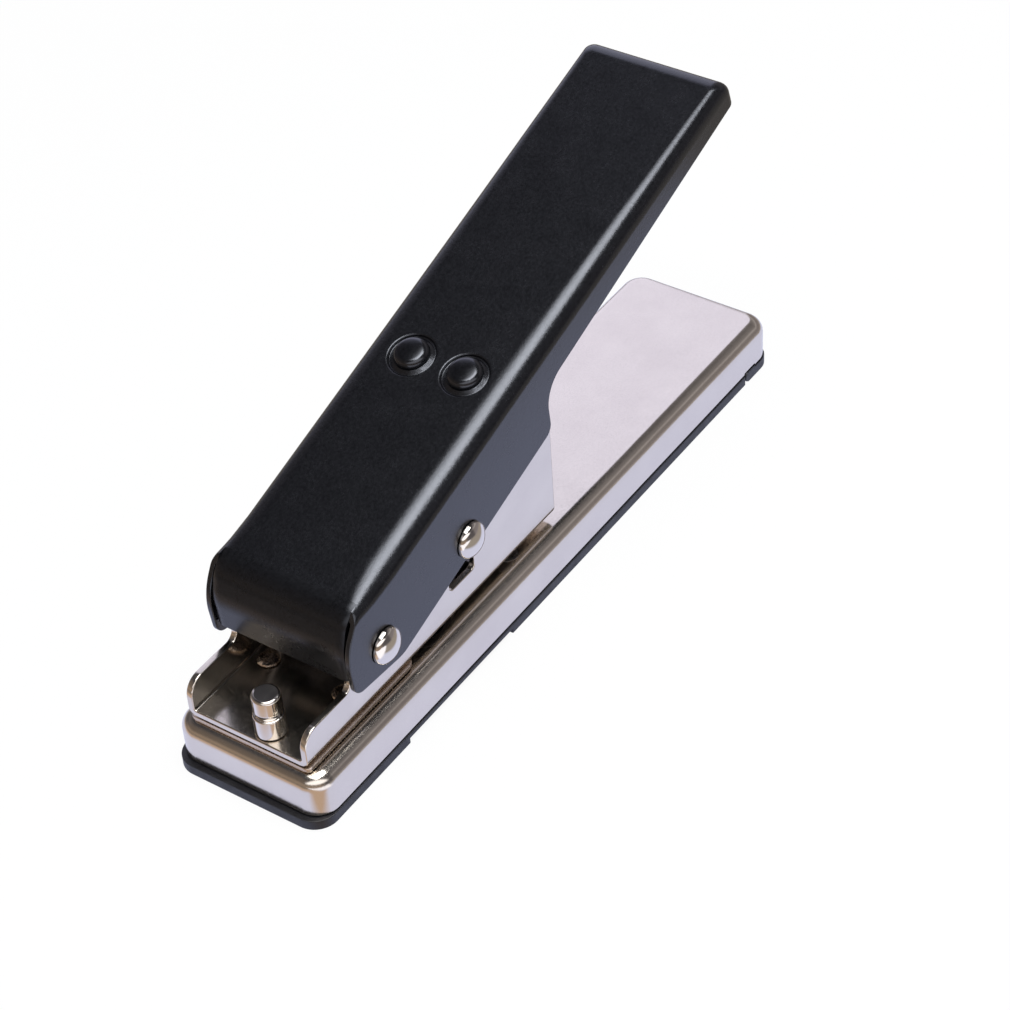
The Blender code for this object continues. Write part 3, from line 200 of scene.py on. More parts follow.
def plate(name, outlines, low, high):
    """A flat plate from outlines in X and Y; those after the first are holes."""
    curve = bpy.data.curves.new(name, "CURVE")
    curve.dimensions = "2D"
    curve.fill_mode = "BOTH"
    curve.extrude = (high - low) / 2
    for outline in outlines:
        add_points(curve, [(x, y, 0) for x, y in outline], closed=True)
    shape = linked(name + "_shape", curve)
    work = bmesh.new()
    work.from_mesh(evaluated_mesh(shape))
    remove(shape)
    bmesh.ops.remove_doubles(work, verts=work.verts, dist=1e-6)
    bmesh.ops.translate(work, verts=work.verts, vec=(0, 0, (low + high) / 2))
    return new_object(name, work)


def side_plate(name, outline, half_width, middle=0.0):
    """A prism from an outline in X and Z, half_width to each side of middle."""
    made = plate(name, [outline], -half_width, half_width)
    made.data.transform(Matrix.Rotation(math.radians(90), 4, "X"))
    made.data.transform(Matrix.Translation((0, middle, 0)))
    return made


def turned(name, profile, position=(0, 0, 0), along_y=False, steps=72):
    """A turned piece from (radius, height) points, given from the top down."""
    work = bmesh.new()
    rings = []
    for radius, height in profile:
        if radius < 1e-7:
            rings.append([work.verts.new((0, 0, height))])
            continue
        angles = [2 * math.pi * k / steps for k in range(steps)]
        rings.append([work.verts.new((radius * math.cos(a), radius * math.sin(a), height)) for a in angles])
    for upper, lower in zip(rings, rings[1:]):
        for k in range(steps):
            after = (k + 1) % steps
            if len(upper) == 1 and len(lower) == 1:
                continue
            if len(upper) == 1:
                work.faces.new((upper[0], lower[k], lower[after]))
            elif len(lower) == 1:
                work.faces.new((upper[k], lower[0], upper[after]))
            else:
                work.faces.new((upper[k], lower[k], lower[after], upper[after]))
    bmesh.ops.remove_doubles(work, verts=work.verts, dist=1e-7)
    made = new_object(name, work)
    if along_y:
        made.data.transform(Matrix.Rotation(math.radians(90), 4, "X"))
    made.data.transform(Matrix.Translation(position))
    return made


def rod(radius, position, half_length, along_y=False):
    profile = [(0, half_length), (radius, half_length), (radius, -half_length), (0, -half_length)]
    return turned("rod", profile, position, along_y, 48)


def low_dome(top, ball, lean, shoulder, reach, ball_steps, shoulder_steps):
    """A dome's profile: a large ball's cap up to the angle lean, then a tight shoulder down to reach."""
    cap_angles = [lean * i / ball_steps for i in range(ball_steps + 1)]
    cap = [(ball * math.sin(a), top - ball * (1 - math.cos(a))) for a in cap_angles]
    centre = (cap[-1][0] - shoulder * math.sin(lean), cap[-1][1] - shoulder * math.cos(lean))
    angles = [lean + (reach - lean) * i / shoulder_steps for i in range(1, shoulder_steps + 1)]
    return cap + [(centre[0] + shoulder * math.sin(a), centre[1] + shoulder * math.cos(a)) for a in angles]


def solidify(obj, sheet, offset):
    modifier = obj.modifiers.new("sheet", "SOLIDIFY")
    modifier.thickness = sheet
    modifier.offset = offset
    modifier.use_even_offset = True


def bent_sheet(name, path, x0, x1, sheet):
    """A sheet whose middle follows a path across (y, z), drawn along X."""
    work = bmesh.new()
    near = [work.verts.new((x0, y, z)) for y, z in path]
    far = [work.verts.new((x1, y, z)) for y, z in path]
    skin(work, near, far)
    made = new_object(name, work)
    solidify(made, sheet, 0)
    return made


def open_box(name, low, high, corner, edge):
    """A box open below, whose upright corners and top edges are rounded by (radius, steps)."""
    touch = 1e-5
    work = bmesh.new()
    bmesh.ops.create_cube(work, size=1)
    for vertex in work.verts:
        vertex.co.y = math.copysign(high.y, vertex.co.y)
        vertex.co.x = high.x if vertex.co.x > 0 else low.x
        vertex.co.z = high.z if vertex.co.z > 0 else low.z
    upright = [e for e in work.edges if abs(e.verts[0].co.z - e.verts[1].co.z) > touch]
    bmesh.ops.bevel(work, geom=upright, offset=corner[0], segments=corner[1], affect="EDGES", profile=0.5)
    rim = [e for e in work.edges if all(abs(v.co.z - high.z) < touch for v in e.verts)]
    bmesh.ops.bevel(work, geom=rim, offset=edge[0], segments=edge[1], affect="EDGES", profile=0.5)
    bottom = [f for f in work.faces if all(abs(v.co.z - low.z) < touch for v in f.verts)]
    bmesh.ops.delete(work, geom=bottom, context="FACES")
    return new_object(name, work)


def cut(obj, cutters, operation="DIFFERENCE"):
    """Applies the object's modifiers and the cutters, and removes the cutters."""
    for cutter in cutters:
        modifier = obj.modifiers.new("cut", "BOOLEAN")
        modifier.operation = operation
        modifier.solver = "EXACT"
        modifier.object = cutter
    mesh = evaluated_mesh(obj)
    obj.modifiers.clear()
    obj.data = mesh
    for cutter in cutters:
        remove(cutter)


def soften(obj, width, segments=3, keep_sharp=None):
    """Rounds the sharp edges, so that every sheet edge catches the light."""
    merge_gap, flat, sharp_from = 5e-6, math.radians(0.3), math.radians(35)
    work = bmesh.new()
    work.from_mesh(obj.data)
    bmesh.ops.remove_doubles(work, verts=work.verts, dist=merge_gap)
    bmesh.ops.dissolve_degenerate(work, edges=work.edges, dist=merge_gap)
    bmesh.ops.dissolve_limit(work, angle_limit=flat, verts=work.verts, edges=work.edges)
    sharp = []
    for item in work.edges:
        if len(item.link_faces) == 2 and item.calc_face_angle(0) > sharp_from:
            middle = (item.verts[0].co + item.verts[1].co) / 2
            if keep_sharp is None or not keep_sharp(middle):
                sharp.append(item)
    bmesh.ops.bevel(
        work, geom=sharp, offset=width, segments=segments, affect="EDGES", profile=0.5, clamp_overlap=False)
    work.to_mesh(obj.data)
    work.free()


def smooth(obj, angle_deg=38):
    obj.data.shade_smooth()
    obj.data.set_sharp_from_angle(angle=math.radians(angle_deg))
    weights = obj.modifiers.new("flat faces stay flat", "WEIGHTED_NORMAL")
    weights.keep_sharp = True
    weights.weight = 60


def merge(name, objects):
    """Joins finished meshes into one object."""
    work = bmesh.new()
    for obj in objects:
        work.from_mesh(obj.data)
    mesh = bpy.data.meshes.new(name)
    work.to_mesh(mesh)
    work.free()
    for obj in objects:
        remove(obj)
    return linked(name, mesh)


def pick_outline(grow):
    """The pick's outline of tangent arcs, tip toward +X, larger by grow all round."""
    length, width = 30.5 * MM, 25.6 * MM
    tip_r, shoulder_r, top_r, side_r = 2.6 * MM, 7.2 * MM, 26 * MM, 38 * MM
    tip = Vector((length / 2 - tip_r, 0))
    shoulder_y = width / 2 - shoulder_r
    top = Vector((top_r - length / 2, 0))
    shoulder = Vector((top.x - math.sqrt((top_r - shoulder_r) ** 2 - shoulder_y ** 2), shoulder_y))
    from_tip, from_shoulder = side_r - tip_r, side_r - shoulder_r
    span = shoulder - tip
    along = (from_tip ** 2 - from_shoulder ** 2 + span.length_squared) / (2 * span.length)
    across = math.sqrt(from_tip ** 2 - along ** 2)
    unit = span.normalized()
    side = tip + unit * along + Vector((-unit.y, unit.x)) * across
    at_tip = math.atan2(tip.y - side.y, tip.x - side.x)
    at_shoulder = math.atan2(shoulder.y - side.y, shoulder.x - side.x)
    at_top = math.atan2(shoulder_y, shoulder.x - top.x)
    half = arc(tip, tip_r + grow, 0, at_tip)
    half += arc(side, side_r + grow, at_tip, at_shoulder, 2)[1:]
    half += arc(shoulder, shoulder_r + grow, at_shoulder, at_top)[1:]
    half += arc(top, top_r + grow, at_top, math.pi, 2)[1:]
    return [(PICK_X + x, y) for x, y in half + [(x, -y) for x, y in half[-2:0:-1]]]


def fixing_holes(nodes):
    """Where each fixing goes through a sheet, as (x, y, radius)."""
    places = [(middle_of(node), POST_HOLE if node == "anchor_post" else RIVET_HOLE) for node in nodes]
    return [(at.x, at.y, radius) for at, radius in places]


# Materials
def shader(name):
    material = bpy.data.materials.new(name)
    material.use_nodes = True
    tree = material.node_tree
    return material, tree, tree.nodes["Principled BSDF"]


def noise(tree, scale, detail=3.0, roughness=0.55, stretch=None):
    """Noise in the part's own coordinates, scale per metre."""
    place = tree.nodes.new("ShaderNodeTexCoord")
    source = place.outputs["Object"]
    if stretch:
        mapping = tree.nodes.new("ShaderNodeMapping")
        mapping.inputs["Scale"].default_value = stretch
        tree.links.new(source, mapping.inputs["Vector"])
        source = mapping.outputs["Vector"]
    node = tree.nodes.new("ShaderNodeTexNoise")
    node.inputs["Scale"].default_value = scale
    node.inputs["Detail"].default_value = detail
    node.inputs["Roughness"].default_value = roughness
    tree.links.new(source, node.inputs["Vector"])
    return node.outputs["Fac"]


def ranged(tree, value, low, high, out_low, out_high):
    node = tree.nodes.new("ShaderNodeMapRange")
    for key, number in (("From Min", low), ("From Max", high), ("To Min", out_low), ("To Max", out_high)):
        node.inputs[key].default_value = number
    tree.links.new(value, node.inputs["Value"])
    return node.outputs["Result"]


def ramp(tree, value, stops):
    node = tree.nodes.new("ShaderNodeValToRGB")
    while len(node.color_ramp.elements) < len(stops):
        node.color_ramp.elements.new(0.5)
    for element, (place, colour) in zip(node.color_ramp.elements, stops):
        element.position = place
        element.color = (*colour, 1)
    tree.links.new(value, node.inputs["Fac"])
    return node.outputs["Color"]


def maths(tree, operation, a, b):
    node = tree.nodes.new("ShaderNodeMath")
    node.operation = operation
    for socket, value in zip(node.inputs, (a, b)):
        if isinstance(value, (int, float)):
            socket.default_value = value
        else:
            tree.links.new(value, socket)
    return node.outputs["Value"]


def blended(tree, share, a, b):
    """From colour a to colour b by share; each is a colour or a socket."""
    mix = tree.nodes.new("ShaderNodeMix")
    mix.data_type = "RGBA"
    for key, value in (("Factor", share), ("A", a), ("B", b)):
        if isinstance(value, tuple):
            mix.inputs[key].default_value = (*value, 1)
        else:
            tree.links.new(value, mix.inputs[key])
    return mix.outputs["Result"]


def mix_shader(tree, share, first, second):
    mix = tree.nodes.new("ShaderNodeMixShader")
    for socket, source in zip(mix.inputs, (share, first, second)):
        tree.links.new(source, socket)
    return mix.outputs["Shader"]


def parts_of(tree, vector):
    split = tree.nodes.new("ShaderNodeSeparateXYZ")
    tree.links.new(vector, split.inputs["Vector"])
    return [split.outputs[key] for key in "XYZ"]


def bump(tree, shade, height, distance):
    node = tree.nodes.new("ShaderNodeBump")
    node.inputs["Strength"].default_value = 1.0
    node.inputs["Distance"].default_value = distance
    tree.links.new(height, node.inputs["Height"])
    tree.links.new(node.outputs["Normal"], shade.inputs["Normal"])


def nickel(name, low, high, rough=(0.13, 0.23), wave=0.00004):
    """Bright plate over drawn steel: faint waves, fine grain and drawing lines."""
    material, tree, shade = shader(name)
    shade.inputs["Metallic"].default_value = 1.0
    cloud = noise(tree, 90, 4)
    tree.links.new(ramp(tree, cloud, [(0.30, low), (0.70, high)]), shade.inputs["Base Color"])
    grain = noise(tree, 2600, 2)
    tree.links.new(ranged(tree, grain, 0.3, 0.7, *rough), shade.inputs["Roughness"])
    lines = maths(tree, "MULTIPLY", noise(tree, 900, 3, stretch=(0.06, 1, 1)), 0.03)
    waves = maths(tree, "ADD", noise(tree, 120, 2), maths(tree, "MULTIPLY", grain, 0.04))
    bump(tree, shade, maths(tree, "ADD", lines, waves), wave)
    return material


def ground_steel(name, colour, rough=(0.26, 0.42)):
    """Bare steel with fine grinding lines along X."""
    material, tree, shade = shader(name)
    shade.inputs["Metallic"].default_value = 1.0
    lines = noise(tree, 1400, 4, stretch=(0.05, 1, 1))
    darker = tuple(c * 0.78 for c in colour)
    tree.links.new(ramp(tree, lines, [(0.3, darker), (0.7, colour)]), shade.inputs["Base Color"])
    tree.links.new(ranged(tree, noise(tree, 300, 3), 0.3, 0.7, *rough), shade.inputs["Roughness"])
    bump(tree, shade, lines, 0.000006)
    return material


def powder_coat(name, distance, rough, ior=1.7):
    """Satin black coat with a fine orange-peel skin."""
    material, tree, shade = shader(name)
    shade.inputs["IOR"].default_value = ior
    # Bluish tint on the coat's reflections: painted colour of cool light
    shade.inputs["Specular Tint"].default_value = (0.86, 0.90, 1.0, 1)
    cells = noise(tree, 1500, 3, 0.6)
    cloud = noise(tree, 160, 3)
    dark, light = (0.0020, 0.0020, 0.0026), (0.0050, 0.0050, 0.0062)
    tree.links.new(ramp(tree, cells, [(0.32, dark), (0.72, light)]), shade.inputs["Base Color"])
    uneven = maths(tree, "ADD", maths(tree, "MULTIPLY", cells, 0.6), maths(tree, "MULTIPLY", cloud, 0.4))
    tree.links.new(ranged(tree, uneven, 0.35, 0.65, *rough), shade.inputs["Roughness"])
    bump(tree, shade, cells, distance)
    return material


def moulded_plastic(name):
    """Black plastic with a fine moulded grain."""
    material, tree, shade = shader(name)
    grain = noise(tree, 1800, 2)
    dark, light = (0.009, 0.009, 0.012), (0.015, 0.015, 0.019)
    tree.links.new(ramp(tree, grain, [(0.3, dark), (0.7, light)]), shade.inputs["Base Color"])
    tree.links.new(ranged(tree, noise(tree, 400, 3), 0.3, 0.7, 0.38, 0.52), shade.inputs["Roughness"])
    bump(tree, shade, grain, 0.00002)
    return material


NICKEL = nickel("nickel_plate", (0.73, 0.67, 0.60), (0.78, 0.72, 0.64))
NICKEL_BRIGHT = nickel("nickel_polished", (0.77, 0.72, 0.66), (0.82, 0.77, 0.71), (0.07, 0.15), 0.00002)
# Warm tan nickel for the spacer and bracket rivets: painted tan and copper reflection
WARM = nickel("nickel_warm", (0.52, 0.42, 0.33), (0.66, 0.56, 0.47), (0.18, 0.32))
STEEL = ground_steel("ground_steel", (0.46, 0.45, 0.45))
# Darkened steel for the parts inside the handle: painted shade
SHADE_DARK_STEEL = ground_steel("steel_painted_shade", (0.13, 0.125, 0.125), (0.30, 0.45))
# Dark steel for the post's top: painted dark reflection and shade of the handle above
DARK_REFLECTION_STEEL = ground_steel("steel_painted_dark_reflection", (0.09, 0.085, 0.085), (0.38, 0.55))
SPRING = ground_steel("spring_wire", (0.24, 0.24, 0.255))
COAT = powder_coat("powder_coat", 0.000022, (0.22, 0.28))
COAT_SMOOTH = powder_coat("smooth_coat", 0.000003, (0.18, 0.22))
# The apron's coat copy reflects less: painted shade on the front apron
COAT_FRONT = powder_coat("front_coat", 0.000005, (0.26, 0.33), 1.5)
PLASTIC = moulded_plastic("moulded_plastic")


def finish_piece(obj, body, material, node):
    obj.data.materials.clear()
    obj.data.materials.append(material)
    smooth(obj)
    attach(obj, body)
    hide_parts(node)


# Base housing, spacer, bracket and post
def countersink(node):
    """The cutter for a rivet's countersunk hole in the housing's top."""
    at, head, over = middle_of(node), 2.5 * MM, 1 * MM
    top, ceiling = HOUSING[1].z, HOUSING[1].z - HOUSING_SHEET
    profile = [
        (0, top + over), (head, top + over), (head, top), (RIVET_HOLE, top - (head - RIVET_HOLE)),
        (RIVET_HOLE, ceiling - over), (0, ceiling - over)]
    return turned("sink", profile, (at.x, at.y, 0), steps=40)


def build_housing():
    low, high = HOUSING
    over, notch_over = 2 * MM, 4 * MM
    cover = open_box("housing_cover", low, high, (BASE_CORNER, 12), (HOUSING_EDGE, 9))
    solidify(cover, HOUSING_SHEET, -1)
    cutters = [plate("hole", [pick_outline(0.45 * MM)], high.z - HOUSING_SHEET - over, high.z + over)]
    cutters += [countersink(node) for node in DIE_RIVETS]
    cutters += [rod(radius, (x, y, high.z), over) for x, y, radius in fixing_holes(
        [*BRACKET_RIVETS, "anchor_post"])]
    notch = rectangle(TRAY_END, HINGE.x + 2.5 * MM, -notch_over, 3.0 * MM, (0, 0, 0.3 * MM, 0.3 * MM))
    cutters.append(side_plate("notch", notch, high.y + notch_over))
    cut(cover, cutters)
    soften(cover, 0.14 * MM, 2)
    finish_piece(cover, "base", NICKEL, "base_housing")


def build_spacer():
    low, high = SPACER
    near, far = 1.3 * MM, 3.0 * MM
    outlines = [rectangle(low.x, high.x, low.y, high.y, (near, far, far, near))]
    outlines += [circle(*hole) for hole in fixing_holes([*BRACKET_RIVETS, "anchor_post"])]
    spacer = plate("throat_spacer", outlines, low.z, high.z)
    soften(spacer, 0.15 * MM, 2)
    # The spacer's warm tan is painted tan and copper reflection
    finish_piece(spacer, "base", WARM, "spacer_plate")


def build_bracket():
    """A channel with low rails at the pivot end and tall walls round the punch."""
    low, high = BRACKET
    over, under = 4 * MM, 2 * MM
    middle_y = high.y - BRACKET_SHEET / 2
    middle_z = low.z + BRACKET_SHEET / 2
    bend = 2.0 * MM - BRACKET_SHEET / 2
    top = high.z + over
    path = rounded(
        [(-middle_y, top, 0), (-middle_y, middle_z, bend), (middle_y, middle_z, bend), (middle_y, top, 0)],
        closed=False, step_deg=9)
    bracket = bent_sheet("bracket_channel", path, low.x - over, high.x + over, BRACKET_SHEET)
    rail = low.z + 8.5 * MM
    ear_corner = 8.3 * MM
    ear = PIVOT.x - ear_corner
    side = rounded([
        (low.x, low.z - under, 0), (high.x, low.z - under, 0), (high.x, high.z, 4 * MM),
        (ear, high.z, ear_corner), (ear, rail, 2 * MM), (low.x, rail, 3.8 * MM),
    ])
    reach = high.y + over
    cut(bracket, [side_plate("side", side, reach)], "INTERSECT")
    slot_half = 4.4 * MM
    slot = rectangle(
        PICK_X - slot_half, PICK_X + slot_half, low.z + 7.5 * MM, DRIVE.z + 2.4 * MM, [1.2 * MM] * 4)
    cutters = [
        rod(PIN_HOLE, tuple(PIVOT), reach, along_y=True), side_plate("slot", slot, reach),
        plate("hole", [pick_outline(0.3 * MM)], low.z - under, low.z + BRACKET_SHEET + under)]
    cutters += [rod(radius, (x, y, low.z), over) for x, y, radius in fixing_holes(
        [*BRACKET_RIVETS, *GUIDE_RIVETS, "anchor_post"])]
    cut(bracket, cutters)
    soften(bracket, 0.28 * MM, 3)
    finish_piece(bracket, "base", NICKEL, "punch_bracket")


def build_post():
    """A head, a waist and a flange on the bracket's floor, and a shank riveted under the housing's top."""
    low, high = POST
    at = ((low.x + high.x) / 2, (low.y + high.y) / 2, 0)
    foot = BRACKET[0].z + 1.8 * MM
    neck = foot + 4.8 * MM
    top = high.z + 0.6 * MM
    tail = low.z
    head, waist, flange, shank = 3.0 * MM, 2.5 * MM, 3.25 * MM, 2.0 * MM
    rivet, rivet_height = 2.8 * MM, 0.8 * MM
    chamfer = 0.1 * MM
    profile = [(0, top), (2.15 * MM, top), (2.3 * MM, top)]
    profile += arc((2.35 * MM, top - 0.65 * MM), 0.65 * MM, math.radians(90), 0, 15)
    profile += [(head, neck + 1.5 * MM)]
    profile += arc((2.75 * MM, neck + 1.3 * MM), 0.25 * MM, 0, math.radians(-80), 20)
    profile += [(2.6 * MM, neck + 0.95 * MM), (waist, neck + 0.7 * MM), (waist, neck + 0.15 * MM),
                (2.62 * MM, neck)]
    profile += arc((2.85 * MM, neck - 0.4 * MM), 0.4 * MM, math.radians(90), 0, 18)
    profile += [(flange, foot + 0.15 * MM), (3.1 * MM, foot), (shank, foot), (shank, tail + rivet_height),
                (rivet, tail + rivet_height), (rivet, tail + chamfer), (rivet - chamfer, tail), (0, tail)]
    post = turned("catch_post", profile, at)
    finish_piece(post, "base", NICKEL_BRIGHT, "anchor_post")
    # The post's flat top takes dark steel: painted reflection and shade of the handle above
    post.data.materials.append(DARK_REFLECTION_STEEL)
    for face in post.data.polygons:
        if face.center.z > top - 0.01 * MM:
            face.material_index = 1


# Handle
def along_table(table, along):
    """A size in metres between the places of a table in millimetres."""
    place = along / MM
    if place <= table[0][0]:
        return table[0][1] * MM
    for (x0, y0), (x1, y1) in zip(table, table[1:]):
        if place <= x1:
            return (y0 + (y1 - y0) * (place - x0) / (x1 - x0)) * MM
    return table[-1][1] * MM


def edge_drop(along, inset):
    """How far the rounded edge lies below the handle's flat top, at one distance from the side."""
    width = along_table(EDGE_WIDTH, along)
    share = max(0, 1 - inset / width)
    return along_table(EDGE_DROP, along) * (1 - math.sqrt(1 - share * share))


def crown_ring(start, tilt):
    """The handle's outline at one step of its edge, from one side round the far end to the other."""
    lean, rise = math.sin(tilt), math.cos(tilt)
    points = []
    for along in [start] + [place * MM for place in STATIONS]:
        width, drop = along_table(EDGE_WIDTH, along), along_table(EDGE_DROP, along)
        points.append((along, OUTER_Y + TAPER * along - width * (1 - lean), HANDLE_TOP - drop * (1 - rise)))
    width, drop = along_table(EDGE_WIDTH, HANDLE_END), along_table(EDGE_DROP, HANDLE_END)
    corner = (1.0 + 1.3 * lean) * MM
    centre = (HANDLE_END - END_WIDTH * (1 - lean) - corner,
              OUTER_Y + TAPER * HANDLE_END - width * (1 - lean) - corner)
    turn = math.radians(9)
    points += [(centre[0] + corner * math.sin(turn * i), centre[1] + corner * math.cos(turn * i),
                HANDLE_TOP - drop * (1 - rise)) for i in range(11)]
    return points + [(x, -y, z) for x, y, z in reversed(points)]


def crown(name, start, low):
    """The handle's outer skin: flat top, rounded edges that meet in tight corners, walls down to low."""
    outlines = [crown_ring(start, math.radians(7.5 * i)) for i in range(13)]
    outlines.append([(x, y, low) for x, y, z in outlines[-1]])
    work = bmesh.new()
    rings = [[work.verts.new(point) for point in outline] for outline in outlines]
    work.faces.new(rings[0])
    for upper, lower in zip(rings, rings[1:]):
        skin(work, upper, lower)
    return new_object(name, work)


def dimple(place):
    """The trough round a rivet, and the lip that rolls up from it to the handle's top."""
    lip, foot = 0.5 * MM, HANDLE_TOP - 0.95 * MM
    trough = [(2.3, 0.04), (3.6, 0.04), (3.76, 0.07), (3.88, 0.14), (4.58, 0.55), (4.7, 0.6), (4.86, 0.6),
              (4.98, 0.52), (5.07, 0.36)]
    profile = [(DIMPLE_BORE, foot)] + [(radius * MM, HANDLE_TOP - depth * MM) for radius, depth in trough]
    profile += arc((DIMPLE, HANDLE_TOP - lip), lip, math.radians(145), math.radians(90), 12)
    profile += [(DIMPLE, foot), (DIMPLE_BORE, foot)]
    return turned("dimple", profile, (*place, 0), steps=48)


def build_handle_cover():
    over, reach = 4 * MM, 24 * MM
    shell = crown("handle_cover", -15.3 * MM, -12.3 * MM)
    solidify(shell, HANDLE_SHEET, -1)
    far = HANDLE_END + over
    outline = rounded([
        (FRONT, HANDLE_TOP + over, 0), (FRONT, HANDLE_TOP, 1 * MM), (-9.3 * MM, 8.6 * MM, 14 * MM),
        (-11.3 * MM, -2.6 * MM, 3 * MM), (3 * MM, -8.297 * MM, 8 * MM), (60 * MM, -6.697 * MM, 2.8 * MM),
        (62.2 * MM, 4.3 * MM, 7 * MM), (far, 8.2 * MM, 0), (far, HANDLE_TOP + over, 0),
    ], step_deg=4)
    cut(shell, [side_plate("side", outline, reach)], "INTERSECT")
    drive = HANDLE.inverted() @ DRIVE
    cutters = [rod(PIN_HOLE, at, reach, along_y=True) for at in ((0, 0, 0), tuple(drive))]
    front = rectangle(FRONT - over, JOIN, HANDLE_TOP - 3 * MM, HANDLE_TOP + 3 * MM, [0] * 4)
    cutters.append(side_plate("front", front, APRON_Y))
    for place in RIVET_PLACES:
        cutters.append(rod(DIMPLE, (*place, HANDLE_TOP), 1.0 * MM))
        cutters.append(rod(DIMPLE_BORE, (*place, HANDLE_TOP), 2.4 * MM))
    cut(shell, cutters)

    def stays_sharp(middle):
        """The edges where the dimples and the apron join on."""
        from_rims = [abs((middle.xy - Vector(place)).length - DIMPLE) for place in RIVET_PLACES]
        at_rivet = min(from_rims) < 0.2 * MM and middle.z > HANDLE_TOP - 1.5 * MM
        at_front = middle.x < JOIN + 0.1 * MM and abs(middle.y) < APRON_Y + 0.1 * MM
        return at_rivet or (at_front and middle.z > HANDLE_TOP - 3 * MM)

    soften(shell, 0.28 * MM, 3, keep_sharp=stays_sharp)
    shell = merge("handle_cover", [shell, *(dimple(place) for place in RIVET_PLACES)])
    shell.data.transform(HANDLE)
    finish_piece(shell, "handle", COAT, "handle_shell")


def bent_apron(name, path):
    """The curved front sheet, its two sides rounded down as the handle's edges are where it starts."""
    sheet = HANDLE_SHEET - 0.1 * MM
    sides = [y * MM for y in (12.6, 13.2, 13.8, 14.3, 14.8, 15.2, 15.55)] + [APRON_Y]
    stations = [-y for y in reversed(sides)] + [0] + sides
    work = bmesh.new()
    outer, inner = [], []
    for i, point in enumerate(path):
        before, after = Vector(path[max(0, i - 1)]), Vector(path[min(len(path) - 1, i + 1)])
        run = (after - before).normalized()
        normal = Vector((run.y, -run.x))
        rows = ([], [])
        for y in stations:
            drop = edge_drop(JOIN, OUTER_Y - abs(y))
            for row, depth in zip(rows, (drop, sheet)):
                at = Vector(point) - normal * depth
                row.append(work.verts.new((at.x, y, at.y)))
        outer.append(rows[0])
        inner.append(rows[1])
    for rows in (outer, inner):
        for upper, lower in zip(rows, rows[1:]):
            skin(work, upper, lower)
    for i in (0, -1):
        skin(work, outer[i], inner[i])
        skin(work, [row[i] for row in outer], [row[i] for row in inner])
    return new_object(name, work)


def build_apron():
    path = rounded([
        (JOIN, HANDLE_TOP, 0), (-4.6 * MM, HANDLE_TOP, 7 * MM), (-9.0 * MM, 8.0 * MM, 12 * MM),
        (-10.4 * MM, 0.6 * MM, 0)], closed=False, step_deg=3)
    apron = bent_apron("front_apron", path)
    apron.data.transform(HANDLE)
    finish_piece(apron, "handle", COAT_FRONT, "handle_shell")


def build_handle_rivets():
    """A low dome in each dimple, and the head that holds the channel inside."""
    lean, crown_radius = math.radians(10), 2.45 * MM
    profile = low_dome(
        HANDLE_TOP + 2.05 * MM, crown_radius / math.sin(lean), lean, 1.7 * MM, math.radians(86), 6, 14)
    base, tail = HANDLE_TOP - 0.02 * MM, 10.9 * MM
    shank, head, head_height = 2.0 * MM, 3.0 * MM, 1.0 * MM
    profile += [(3.86 * MM, base), (shank, base), (shank, tail + head_height), (head, tail + head_height),
                (head, tail + 0.2 * MM), (2.8 * MM, tail), (0, tail)]
    for i, place in enumerate(RIVET_PLACES, 1):
        rivet = turned(f"dome_rivet_{i}", profile, (*place, 0))
        rivet.data.transform(HANDLE)
        finish_piece(rivet, "handle", COAT_SMOOTH, f"handle_rivet_{i}")


def pin_profile(seat):
    """A cross pin's profile: a wide low dome on each end of its shaft, seat away from the middle."""
    head, crown_height, shaft = 4.05 * MM, 2.3 * MM, 2.1 * MM
    half = low_dome(
        seat + crown_height, 5.55 * MM, math.radians(38.5), 1.50 * MM, math.pi / 2, 10, 8)
    half += [(head - 0.1 * MM, seat), (shaft, seat)]
    return half + [(radius, -height) for radius, height in reversed(half)]


def build_pins():
    for name, node, at, body in (("pivot_cross_pin", "pivot_pin", PIVOT, "base"),
                                 ("drive_cross_pin", "drive_pin", DRIVE, "handle")):
        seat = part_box(node)[1].y - 2.3 * MM
        pin = turned(name, pin_profile(seat), tuple(at), along_y=True)
        finish_piece(pin, body, NICKEL_BRIGHT, node)


# Tray and foot
def finish_moulding(obj, body, node):
    """Softens a plastic piece above its flat underside and keeps it from reaching below the table."""
    soften(obj, 0.22 * MM, 2, keep_sharp=lambda middle: middle.z < 0.05 * MM)
    for vertex in obj.data.vertices:
        vertex.co.z = max(vertex.co.z, 0.0)
    finish_piece(obj, body, PLASTIC, node)


